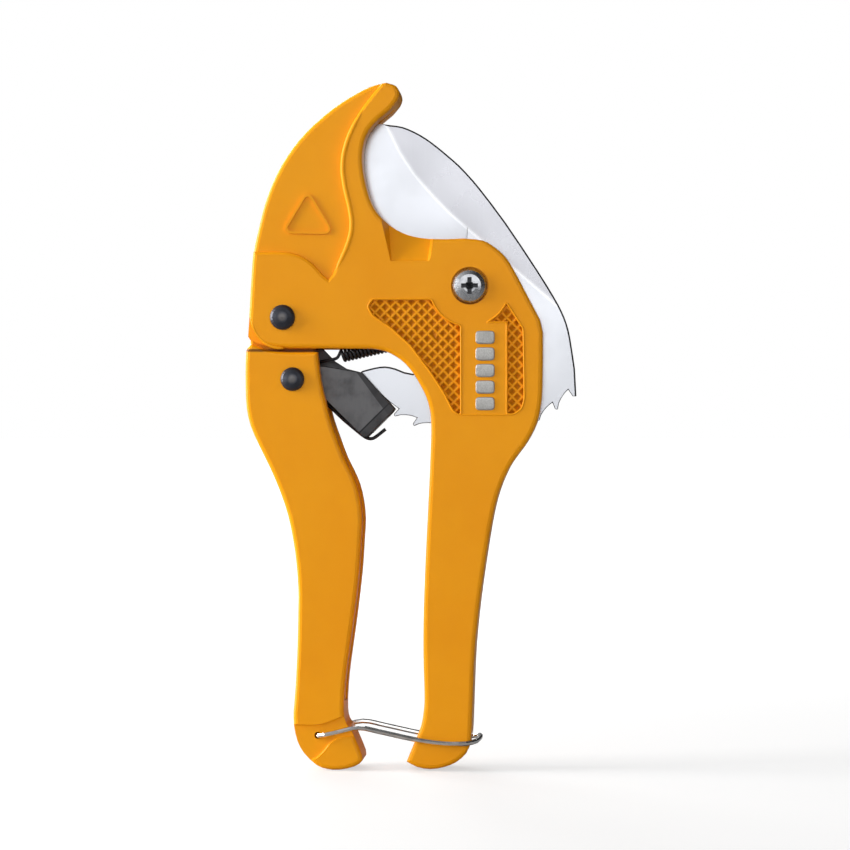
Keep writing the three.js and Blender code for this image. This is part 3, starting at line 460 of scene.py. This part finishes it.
def oiled_spring_wire():
    """Black oiled wire with drawing lines and small bare spots."""
    material, sheet, shader, place = new_material("oiled_spring_wire", 0.7, coat=0.3, coat_roughness=0.18)
    marks = sheet.place_group(HANDLING, Vector=place, Size=420.0)
    tone = sheet.mix(marks.outputs["Smudge"], (0.020, 0.020, 0.024, 1.0), (0.040, 0.040, 0.046, 1.0))
    sheet.join(sheet.mix(marks.outputs["Specks"], tone, (0.12, 0.12, 0.13, 1.0)), shader.inputs["Base Color"])
    rough = sheet.math("ADD", 0.28, sheet.math("MULTIPLY", marks.outputs["Smudge"], 0.15))
    sheet.join(rough, shader.inputs["Roughness"])
    grain = sheet.noise(place, 3400.0, 2.0)
    sheet.join(sheet.bump(grain, 0.000008, 0.5), shader.inputs["Normal"])
    return material


def bright_latch_wire():
    """Bright plated spring wire with faint drawing lines and a few dull spots."""
    material, sheet, shader, place = new_material("bright_latch_wire", 1.0)
    marks = sheet.place_group(HANDLING, Vector=place, Size=240.0)
    grain = sheet.place_group(BRUSHED, Vector=sheet.stretch(place, (0.06, 1.0, 1.0)), Fineness=3600.0)
    tone = sheet.mix(marks.outputs["Smudge"], (0.72, 0.72, 0.71, 1.0), (0.56, 0.56, 0.55, 1.0))
    sheet.join(sheet.mix(marks.outputs["Specks"], tone, (0.35, 0.35, 0.35, 1.0)), shader.inputs["Base Color"])
    rough = sheet.math("ADD", 0.16, sheet.math("MULTIPLY", grain.outputs["Lines"], 0.10))
    sheet.join(rough, shader.inputs["Roughness"])
    sheet.join(sheet.bump(grain.outputs["Height"], 0.000006, 0.35), shader.inputs["Normal"])
    return material


def sheared_edge_and_shade():
    """Unpolished steel where the sheet was cut, rough with a faint grain; its near-black tone is painted
    shade along the rims.
    """
    material, sheet, shader, place = new_material("cut_edge_painted_shade", 0.8)
    grain = sheet.noise(place, 2300.0, 2.0)
    # Painted shade: the near-black tone stands for the shade along the rims; the grain is the steel's own.
    tone = sheet.mix(sheet.span(grain, 0.35, 0.7), (0.035, 0.036, 0.040, 1.0), (0.075, 0.076, 0.082, 1.0))
    sheet.join(tone, shader.inputs["Base Color"])
    sheet.join(sheet.math("ADD", 0.42, sheet.math("MULTIPLY", grain, 0.2)), shader.inputs["Roughness"])
    sheet.join(sheet.bump(grain, 0.00001, 0.5), shader.inputs["Normal"])
    return material


def silver_fill():
    """Silver lacquer with a fine flake and slightly worn tone."""
    material, sheet, shader, place = new_material("silver_fill", 0.6)
    marks = sheet.place_group(HANDLING, Vector=place, Size=150.0)
    flake = sheet.noise(place, 5200.0, 1.0)
    tone = sheet.mix(sheet.span(flake, 0.35, 0.65), (0.34, 0.335, 0.32, 1.0), (0.48, 0.475, 0.46, 1.0))
    worn = sheet.math("MULTIPLY", marks.outputs["Smudge"], 0.3)
    sheet.join(sheet.mix(worn, tone, (0.30, 0.29, 0.27, 1.0)), shader.inputs["Base Color"])
    sheet.join(sheet.math("ADD", 0.34, sheet.math("MULTIPLY", worn, 0.4)), shader.inputs["Roughness"])
    sheet.join(sheet.bump(flake, 0.000006, 0.4), shader.inputs["Normal"])
    return material


FINISHES = {
    "dark_edge": sheared_edge_and_shade(),
    "silver_fill": silver_fill(),
    "orange_paint": powder_coat(),
    "blade_steel": ground_blade_steel(),
    "zinc_steel": plated_steel(),
    "black_oxide": blackened_steel(),
    "pawl_steel": phosphated_sheet(),
    "spring_steel": oiled_spring_wire(),
    "latch_wire": bright_latch_wire(),
}
NODE_SLOTS = {part["node"]: part["material_slot"] for part in frame["record"]["subparts"]}

for node_name, cad_object in nodes.items():
    cad_object.data.materials.clear()
    cad_object.data.materials.append(FINISHES[NODE_SLOTS[node_name]])


# ---------------------------------------------------------------- shapes
def unit(vectors):
    """Vectors of length one."""
    return vectors / np.linalg.norm(vectors, axis=-1, keepdims=True)


def carried_frames(path, closed):
    """Tangent, and two normals that are carried along a path without twisting.

    Any normal is picked at each point, the angle from the one before it, carried over, is found, and the
    running sum of those angles is turned back out. On a closed path the angle left over is spread evenly."""
    ahead = np.roll(path, -1, 0) - np.roll(path, 1, 0)
    if not closed:
        ahead[0] = path[1] - path[0]
        ahead[-1] = path[-1] - path[-2]
    along = unit(ahead)
    across = unit(np.cross(along, np.eye(3)[np.abs(along).argmin(1)]))
    carried = across[:-1] - (across[:-1] * along[1:]).sum(1, keepdims=True) * along[1:]
    sine = (np.cross(carried, across[1:]) * along[1:]).sum(1)
    cosine = (carried * across[1:]).sum(1)
    turn = -np.concatenate([[0.0], np.cumsum(np.arctan2(sine, cosine))])
    first = turned_about(along, across, turn)
    if closed:
        last = first[-1] - (first[-1] @ along[0]) * along[0]
        left_over = math.atan2(np.cross(last, first[0]) @ along[0], last @ first[0])
        first = turned_about(along, first, left_over * np.arange(len(path)) / len(path))
    return along, first, np.cross(along, first)


def turned_about(along, across, angle):
    """The normals across, turned about along by an angle at each point."""
    return across * np.cos(angle)[:, None] + np.cross(along, across) * np.sin(angle)[:, None]


def tube(path, radius, sides=12, closed=False):
    """Vertices and faces of a round wire: a circle of the given radius carried along a path.

    The ring at each point is radius times (cosine times the first normal plus sine times the second)."""
    along, first, second = carried_frames(path, closed)
    angle = np.linspace(0.0, 2.0 * math.pi, sides, endpoint=False)
    size = np.broadcast_to(np.asarray(radius, float), len(path))[:, None, None]
    ring = np.cos(angle)[None, :, None] * first[:, None] + np.sin(angle)[None, :, None] * second[:, None]
    points = (path[:, None] + size * ring).reshape(-1, 3)
    count = len(path) if closed else len(path) - 1
    faces = grid_faces(count, sides, len(path))
    if not closed:
        end = (len(path) - 1) * sides
        faces += [list(range(sides))[::-1], list(range(end, end + sides))]
    return points, faces


def grid_faces(rows, sides, rings):
    """Four-cornered faces between neighbouring rings of a grid that closes round on itself."""
    row, side = np.meshgrid(np.arange(rows), np.arange(sides), indexing="ij")
    below = row * sides
    above = ((row + 1) % rings) * sides
    after = (side + 1) % sides
    return np.stack([below + side, below + after, above + after, above + side], -1).reshape(-1, 4).tolist()


def joined(parts):
    """Several (vertices, faces) pairs as one."""
    points = []
    faces = []
    start = 0
    for some_points, some_faces in parts:
        points.append(some_points)
        faces += [[corner + start for corner in face] for face in some_faces]
        start += len(some_points)
    return np.concatenate(points), faces


def even_path(corners, spacing, closed=False):
    """Points at an even spacing along straight stretches between corners."""
    corners = np.asarray(corners, float)
    if closed:
        corners = np.vstack([corners, corners[:1]])
    reach = np.concatenate([[0.0], np.cumsum(np.linalg.norm(np.diff(corners, axis=0), axis=1))])
    steps = max(4, int(reach[-1] / spacing))
    where = np.linspace(0.0, reach[-1], steps, endpoint=not closed)
    return np.stack([np.interp(where, reach, corners[:, k]) for k in range(3)], 1)


def eased(path, rounds, closed=False):
    """A path whose points are drawn towards the middle of their neighbours a number of times."""
    path = path.copy()
    for _ in range(rounds):
        middle = (np.roll(path, 1, 0) + np.roll(path, -1, 0)) / 2.0
        if not closed:
            middle[0] = path[0]
            middle[-1] = path[-1]
        path = (path + middle) / 2.0
    return path


def make_piece(name, points, faces, material, body, smooth=60.0):
    """A mesh in the part's frame, from points in the drawing frame; it rides on a body if one is given."""
    mesh = bpy.data.meshes.new(name)
    mesh.from_pydata(placed(points).tolist(), [], faces)
    mesh.materials.append(material)
    mesh.shade_smooth()
    mesh.set_sharp_from_angle(angle=math.radians(smooth))
    piece = bpy.data.objects.new(name, mesh)
    scene.collection.objects.link(piece)
    if body is not None:
        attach(piece, body)
    return piece


# ---------------------------------------------------------------- springs
SPRING_WIRE = 0.45
COIL_RADIUS = 1.55
COIL_PITCH = 1.06
COIL_START = 13.9
COIL_TURNS = 25.5
SPRING_Y = -3.15
SPRING_FROM = np.array([-49.6, SPRING_Y, -22.35])
SPRING_TO = np.array([-0.7, SPRING_Y, -11.4])
SPRING_LINE = (SPRING_TO - SPRING_FROM) / np.linalg.norm(SPRING_TO - SPRING_FROM)
SPRING_UP = np.cross(SPRING_LINE, np.array([0.0, 1.0, 0.0]))
SPRING_OUT = np.array([0.0, -1.0, 0.0])
HOOK_Y = -1.95
HOOK_RADIUS = 3.65
HOOK_POINTS = 30
HALF_TURN = 12.0
LINK_REACH = 0.1


def along_spring(distance, up=0.0, out=0.0):
    """Points at distances along the return spring's axis, with offsets up and out from it."""
    distance, up, out = (np.asarray(value, float)[..., None] for value in (distance, up, out))
    return SPRING_FROM + distance * SPRING_LINE + up * SPRING_UP + out * SPRING_OUT


def coil_path(first_turn, last_turn):
    """A helix: turn times the pitch along the axis, with the coil radius times cosine up and sine out."""
    turn = np.arange(first_turn, last_turn + 1e-9, 1.0 / 18.0)
    angle = 2.0 * math.pi * turn
    distance = COIL_START + COIL_PITCH * turn
    return along_spring(distance, COIL_RADIUS * np.cos(angle), COIL_RADIUS * np.sin(angle))


def pawl_hook():
    """The hook round the pawl's sleeve: an arc about the pawl's pin, cosine to the left and sine up."""
    angle = np.radians(np.linspace(-150.0, 90.0, HOOK_POINTS))
    across = PAWL_PIN[0] - HOOK_RADIUS * np.cos(angle)
    return np.stack([across, np.full(HOOK_POINTS, HOOK_Y), PAWL_PIN[1] + HOOK_RADIUS * np.sin(angle)], 1)


def make_return_spring():
    """Close-wound tension spring: a hook round the pawl's sleeve, the coil, and an eye through the blade.

    It is made in two lengths that meet inside the coil."""
    hook = pawl_hook()
    coil_start = coil_path(0.0, LINK_REACH)[0]
    beside_hook = along_spring(7.0, -0.3) + [0.0, HOOK_Y - SPRING_Y, 0.0]
    lead = even_path([hook[-1], beside_hook, along_spring(12.4, -0.5), coil_start], 0.35)
    lower = np.concatenate([hook[:-1], eased(lead, 6), coil_path(0.06, HALF_TURN)])
    far = COIL_START + COIL_PITCH * COIL_TURNS
    reach = np.linalg.norm(SPRING_TO - SPRING_FROM)
    tail_end = coil_path(COIL_TURNS - LINK_REACH, COIL_TURNS)[-1]
    leave_coil = [tail_end, along_spring(far + 1.4, -1.2, -0.4), along_spring(far + 3.0)]
    enter_hole = [along_spring(reach - 1.5), along_spring(reach - 0.3, 0.0, -0.5)]
    through = [along_spring(reach, 0.0, out) for out in (-1.6, -3.4, -4.1)]
    tail = even_path(leave_coil + enter_hole + through, 0.3)
    upper = np.concatenate([coil_path(HALF_TURN, COIL_TURNS - 0.05), eased(tail, 6)])
    middle = placed(coil_path(HALF_TURN, HALF_TURN + LINK_REACH)[0])
    for name, path, bodies, ends in (
        ("return_spring_pawl_end", lower, ("handle", "body"), (placed(along_spring(4.0)), middle)),
        ("return_spring_blade_end", upper, ("body", "blade"), (middle, placed(along_spring(reach - 2.0)))),
    ):
        points, faces = tube(path, SPRING_WIRE, 10)
        piece = make_piece(name, points, faces, FINISHES["spring_steel"], None)
        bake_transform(piece)
        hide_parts("return_spring")


PAWL_WIRE = 0.5
TORSION_RADIUS = 3.7
TORSION_TURNS = 2.5
TURN_GAP = 0.12
LEG_Y = 1.95
SHORT_LEG_END = (-56.6, -33.0)
LONG_LEG = ((-41.0, -32.6), (-36.0, -37.4), (-31.4, -41.2), (-29.6, -42.6), (-28.0, -43.0), (-26.2, -41.6),
            (-24.2, -40.0))


def make_pawl_spring():
    """Torsion spring on the pawl's sleeve, a helix with a leg on the handle and one round the pawl's web."""
    pitch = 2.0 * PAWL_WIRE + TURN_GAP
    turn = np.linspace(0.0, TORSION_TURNS, 70)
    angle = np.radians(235.0) - 2.0 * math.pi * turn
    back = LEG_Y - pitch * TORSION_TURNS
    coil = np.stack([PAWL_PIN[0] + TORSION_RADIUS * np.cos(angle), back + pitch * turn,
                     PAWL_PIN[1] + TORSION_RADIUS * np.sin(angle)], 1)
    short_leg = even_path([[SHORT_LEG_END[0], back, SHORT_LEG_END[1]], coil[0]], 0.5)
    long_leg = eased(even_path([coil[-1]] + [[x, LEG_Y, z] for x, z in LONG_LEG], 0.4), 8)
    path = eased(np.concatenate([short_leg[:-1], coil, long_leg[1:]]), 2)
    points, faces = tube(path, PAWL_WIRE, 12)
    piece = make_piece("pawl_torsion_spring", points, faces, FINISHES["spring_steel"], None)
    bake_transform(piece)
    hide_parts("pawl_spring")


# ---------------------------------------------------------------- blade and pawl with worked edges
def welded_copy(node, name, material):
    """The CAD node's shape with its corners joined and its flat faces merged, ready for edge work."""
    source = nodes[node].data
    points = np.empty(len(source.vertices) * 3)
    source.vertices.foreach_get("co", points)
    corners = np.empty(len(source.loops), int)
    source.loops.foreach_get("vertex_index", corners)
    cells = np.round(points.reshape(-1, 3) * 1e7).astype(np.int64)
    first, place = np.unique(cells, axis=0, return_index=True, return_inverse=True)[1:]
    faces = place.reshape(-1)[corners].reshape(-1, 3)
    whole = (faces[:, 0] != faces[:, 1]) & (faces[:, 1] != faces[:, 2]) & (faces[:, 2] != faces[:, 0])
    mesh = bpy.data.meshes.new(name)
    mesh.from_pydata(points.reshape(-1, 3)[first].tolist(), [], faces[whole].tolist())
    shape = bmesh.new()
    shape.from_mesh(mesh)
    bmesh.ops.dissolve_limit(shape, angle_limit=math.radians(0.3), verts=shape.verts, edges=shape.edges)
    shape.to_mesh(mesh)
    shape.free()
    mesh.materials.append(material)
    piece = bpy.data.objects.new(name, mesh)
    scene.collection.objects.link(piece)
    return piece


def weigh_edges(piece, wanted):
    """Gives each edge the bevel weight that wanted(first end, second end, angle) returns."""
    shape = bmesh.new()
    shape.from_mesh(piece.data)
    layer = shape.edges.layers.float.new("bevel_weight_edge")
    for edge in shape.edges:
        if len(edge.link_faces) == 2:
            edge[layer] = wanted(edge.verts[0].co, edge.verts[1].co, edge.calc_face_angle(0.0))
    shape.to_mesh(piece.data)
    shape.free()


def chamfer(piece, width, material, segments=1):
    """Cuts the weighted edges back and gives the new faces their own finish."""
    piece.data.materials.append(material)
    cut = piece.modifiers.new("edge_chamfer", "BEVEL")
    cut.limit_method = "WEIGHT"
    cut.width = width
    cut.segments = segments
    cut.material = 1
    cut.use_clamp_overlap = False
    piece.data.shade_smooth()
    piece.data.set_sharp_from_angle(angle=math.radians(25.0))


# Chamfers in mm, the angles in radians that count as an edge, and where the teeth are seen from the screw.
RIM_CHAMFER = 0.46
RIM_ANGLE = 1.0
TOOTH_SHARE = 0.4
TOOTH_REACH = 38.0
TOOTH_TOP = -15.0
PAWL_CHAMFER = 0.2
PAWL_ANGLE = 0.9


def make_blade():
    """The blade with a chamfer round its rim, narrower on the teeth and darkened with painted shade; the
    ground faces stay sharp.
    """
    piece = welded_copy("blade", "ground_blade", FINISHES["blade_steel"])
    face = (HALF_BLADE - FACE_SLACK) * MM
    pivot = Vector(placed((0.0, 0.0, 0.0)))

    def on_rim(a, b, angle):
        """One for an edge on a flat side's rim, less among the teeth, and nothing elsewhere."""
        if min(abs(a.y - pivot.y), abs(b.y - pivot.y)) < face or angle < RIM_ANGLE:
            return 0.0
        out = min((a - pivot).length, (b - pivot).length)
        toothed = out > TOOTH_REACH * MM and max(a.z, b.z) < pivot.z + TOOTH_TOP * MM
        return TOOTH_SHARE if toothed else 1.0

    weigh_edges(piece, on_rim)
    chamfer(piece, RIM_CHAMFER * MM, FINISHES["dark_edge"])
    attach(piece, "blade")
    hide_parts("blade")


def make_pawl():
    """The folded pawl with its sheared edges slightly rounded and darkened with painted shade."""
    piece = welded_copy("pawl", "folded_pawl", FINISHES["pawl_steel"])
    weigh_edges(piece, lambda a, b, angle: float(angle > PAWL_ANGLE))
    chamfer(piece, PAWL_CHAMFER * MM, FINISHES["dark_edge"], 2)
    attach(piece, "pawl")
    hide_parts("pawl")


# ---------------------------------------------------------------- castings: beads, rims and blocks
BEAD = 0.3
BEAD_SUNK = 0.1
BOSS_RADIUS = 11.2
PANEL_LEFT = -2.4
PANEL_RIGHT = 10.3
KNURL_FOOT = -36.0


def boss_arc(start, end, steps=24):
    """Points on the round boss of the screw, angles in degrees from +X towards +Z."""
    angle = np.radians(np.linspace(start, end, steps))
    return [(BOSS_RADIUS * math.cos(a), BOSS_RADIUS * math.sin(a)) for a in angle]


def make_knurl_beads():
    """Low round beads round the knurled fields and along the panel's foot, part sunk in the front face."""
    left = [(-27.3, -3.6)] + boss_arc(198.8, 257.6)
    left += [(PANEL_LEFT, KNURL_FOOT), (-3.4, KNURL_FOOT), (-4.9, -34.6), (-7.2, -30.0), (-11.1, -24.0)]
    left += [(-16.7, -16.6), (-22.0, -11.8), (-27.2, -8.3), (-28.6, -5.8)]
    right = boss_arc(294.4, 335.7)[::-1] + [(4.63, -10.2), (PANEL_RIGHT, -10.2), (PANEL_RIGHT, -35.9)]
    right += [(12.4, -35.9), (14.6, -34.2), (15.3, -31.5), (15.0, -12.0), (PANEL_RIGHT, -4.6)]
    front = -HALF_BODY + BEAD_SUNK
    parts = []
    for corners in (left, right):
        path = even_path([(x, front, z) for x, z in corners], 0.4, True)
        parts.append(tube(eased(path, 3, True), BEAD, 8, True))
    foot_line = even_path([(PANEL_LEFT, front, KNURL_FOOT), (PANEL_RIGHT, front, KNURL_FOOT)], 0.6)
    parts.append(tube(foot_line, BEAD, 8))
    points, faces = joined(parts)
    make_piece("knurl_beads", points, faces, FINISHES["orange_paint"], "body")


CORNER_ARC = (183.0, 272.0)
CORNER_RADIUS = 8.62
CORNER_RIM = 0.52
CORNER_SUNK = 0.45
CORNER_POINTS = 40


def thinned_ends(radius, less, power, count):
    """A wire's radius at each point: thinner at both ends, by a power of the way from its middle."""
    return radius - less * np.abs(2.0 * np.linspace(0.0, 1.0, count) - 1.0) ** power


def make_corner_rims():
    """Rounded rims on the curved lower corner of each cheek: arcs about the hinge rivet."""
    angle = np.radians(np.linspace(*CORNER_ARC, CORNER_POINTS))
    across = HINGE[0] + CORNER_RADIUS * np.cos(angle)
    upward = HINGE[1] + CORNER_RADIUS * np.sin(angle)
    parts = []
    for side in (-1.0, 1.0):
        path = np.stack([across, np.full(CORNER_POINTS, side * (HALF_BODY - CORNER_SUNK)), upward], 1)
        parts.append(tube(path, thinned_ends(CORNER_RIM, 0.4, 12, CORNER_POINTS), 12))
    points, faces = joined(parts)
    make_piece("cheek_corner_rims", points, faces, FINISHES["orange_paint"], "body")


CREST = ((-30.1, 49.9), (-32.9, 45.2), (-34.9, 40.8), (-36.0, 36.6), (-36.3, 32.4), (-35.4, 26.8),
         (-34.3, 22.6), (-33.6, 18.5), (-33.7, 15.1), (-34.8, 11.4), (-36.6, 7.4), (-38.4, 3.4))
CREST_BEAD = 0.86
CREST_SHIFT = 0.75
CREST_SUNK = 0.62


def make_crest_beads():
    """A soft bead along the crest of the raised band on each face of the hook."""
    parts = []
    for side in (-1.0, 1.0):
        path = even_path([(x + CREST_SHIFT, side * (HALF_BODY - CREST_SUNK), z) for x, z in CREST], 0.6)
        parts.append(tube(eased(path, 8), thinned_ends(CREST_BEAD, 0.5, 10, len(path)), 14))
    points, faces = joined(parts)
    make_piece("crest_beads", points, faces, FINISHES["orange_paint"], "body")


BLOCK_X = 4.3
BLOCK_TOP = -14.4
BLOCK_STEP = 4.62
BLOCK_COUNT = 5
BLOCK_SIZE = (5.3, 3.7)
BLOCK_SIDES = 40
BLOCK_CORNER = 5.0
BLOCK_INSET = np.array([0.0, 0.0, 0.06, 0.2, 0.45])
BLOCK_LIFT = np.array([0.3, -0.16, -0.3, -0.38, -0.4])


def rounded_block(x, z, width, height):
    """A low block: a superellipse outline, x and z powers of cosine and sine, drawn in towards its top."""
    angle = np.linspace(0.0, 2.0 * math.pi, BLOCK_SIDES, endpoint=False)
    power = 2.0 / BLOCK_CORNER
    across = np.sign(np.cos(angle)) * np.abs(np.cos(angle)) ** power * width / 2.0
    upward = np.sign(np.sin(angle)) * np.abs(np.sin(angle)) ** power * height / 2.0
    shrink_x = 1.0 - BLOCK_INSET / (width / 2.0)
    shrink_z = 1.0 - BLOCK_INSET / (height / 2.0)
    depth = np.repeat((BLOCK_LIFT - HALF_BODY)[:, None], BLOCK_SIDES, 1)
    points = np.stack([x + shrink_x[:, None] * across, depth, z + shrink_z[:, None] * upward], -1)
    rings = len(BLOCK_INSET)
    faces = grid_faces(rings - 1, BLOCK_SIDES, rings + 1)
    last = (rings - 1) * BLOCK_SIDES
    faces += [list(range(BLOCK_SIDES))[::-1], list(range(last, last + BLOCK_SIDES))]
    return points.reshape(-1, 3), faces


def make_silver_blocks():
    """Plain silver blocks down the flat panel."""
    heights = BLOCK_TOP - BLOCK_STEP * np.arange(BLOCK_COUNT)
    parts = [rounded_block(BLOCK_X, height, *BLOCK_SIZE) for height in heights]
    points, faces = joined(parts)
    make_piece("silver_blocks", points, faces, FINISHES["silver_fill"], "body", 50.0)


# ---------------------------------------------------------------- floor, light
FLOOR_REACH = 30.0
FLOOR_GAP = 0.0002


def make_floor():
    """A flat square under the feet of the handles; far from them it is as white as the surroundings."""
    height = cad_low[2] - FLOOR_GAP
    material, sheet, shader, place = new_material("pale_floor", 0.0)
    shader.inputs["Base Color"].default_value = (0.42, 0.42, 0.42, 1.0)
    shader.inputs["Roughness"].default_value = 0.8
    shader.inputs["Specular IOR Level"].default_value = 0.1
    shader.inputs["Emission Strength"].default_value = 1.0
    away = sheet.node("ShaderNodeVectorMath", operation="LENGTH")
    sheet.join(place, away.inputs[0])
    glow = sheet.span(away.outputs["Value"], 0.1, 1.2, 0.60, 1.0)
    glow = sheet.math("MULTIPLY", glow, sheet.node("ShaderNodeLightPath").outputs["Is Camera Ray"])
    sheet.join(sheet.mix(glow, (0.0, 0.0, 0.0, 1.0), (1.0, 1.0, 1.0, 1.0)), shader.inputs["Emission Color"])
    mesh = bpy.data.meshes.new("studio_floor")
    signs = ((-1.0, -1.0), (1.0, -1.0), (1.0, 1.0), (-1.0, 1.0))
    corners = [(FLOOR_REACH * x, FLOOR_REACH * y, height) for x, y in signs]
    mesh.from_pydata(corners, [], [(0, 1, 2, 3)])
    mesh.materials.append(material)
    floor = bpy.data.objects.new("studio_floor", mesh)
    scene.collection.objects.link(floor)


def soft_box(name, place, aim, width, height, power):
    """A rectangular area light at one place that faces another."""
    data = bpy.data.lights.new(name, "AREA")
    data.shape = "RECTANGLE"
    data.size = width
    data.size_y = height
    data.energy = power
    light = bpy.data.objects.new(name, data)
    scene.collection.objects.link(light)
    light.location = place
    light.rotation_euler = (Vector(aim) - Vector(place)).to_track_quat("-Z", "Y").to_euler()


BRIGHT_SIDE = Vector((-0.90, -0.25, -0.05)).normalized()
FRONT = Vector((0.0, -1.0, 0.05)).normalized()
REAR = Vector((-0.55, 0.75, 0.40)).normalized()
SHADE = 0.04
GLARE = 0.85
FRONT_GLOW = 1.85
REAR_GLOW = 0.45


def make_world():
    """White where it is seen; as light it is bright on the left, in front and part of the rear, else dim."""
    world = bpy.data.worlds.new("white_studio")
    world.use_nodes = True
    sheet = Sheet(world.node_tree)
    seen = world.node_tree.nodes["Background"]
    seen.inputs["Color"].default_value = (1.0, 1.0, 1.0, 1.0)
    lit = sheet.node("ShaderNodeBackground")
    lit.inputs["Color"].default_value = (1.0, 1.0, 1.0, 1.0)
    direction = sheet.node("ShaderNodeTexCoord").outputs["Generated"]

    def towards(way, low, high, start, end):
        """A smooth step over the cosine between the direction and one way."""
        facing = sheet.node("ShaderNodeVectorMath", operation="DOT_PRODUCT")
        sheet.join(direction, facing.inputs[0])
        facing.inputs[1].default_value = way
        return sheet.span(facing.outputs["Value"], low, high, start, end)

    side = towards(BRIGHT_SIDE, -0.3, 0.9, SHADE, GLARE)
    front = towards(FRONT, 0.70, 0.93, 0.0, FRONT_GLOW)
    rear = towards(REAR, 0.7, 0.95, 0.0, REAR_GLOW)
    panels = sheet.math("MAXIMUM", front, rear)
    sheet.join(sheet.math("MAXIMUM", side, panels), lit.inputs["Strength"])
    choice = sheet.node("ShaderNodeMixShader")
    sheet.join(sheet.node("ShaderNodeLightPath").outputs["Is Camera Ray"], choice.inputs[0])
    sheet.join(lit.outputs[0], choice.inputs[1])
    sheet.join(seen.outputs[0], choice.inputs[2])
    sheet.join(choice.outputs[0], world.node_tree.nodes["World Output"].inputs["Surface"])
    scene.world = world


def make_light():
    """The surroundings, a large key from the left, a faint light from the right and one from the rear."""
    make_world()
    middle = tuple(placed((-20.0, 0.0, -35.0)))
    soft_box("key_light", (-1.0, -0.12, 0.22), middle, 0.5, 0.7, 16.0)
    soft_box("rim_light", (0.95, -0.3, 0.02), middle, 0.2, 0.6, 0.3)
    soft_box("rear_light", (-0.35, 0.9, 0.5), middle, 0.6, 0.6, 5.0)


make_return_spring()
make_pawl_spring()
make_blade()
make_pawl()
make_knurl_beads()
make_corner_rims()
make_crest_beads()
make_silver_blocks()
make_floor()
make_light()
scene.view_settings.view_transform = "Standard"
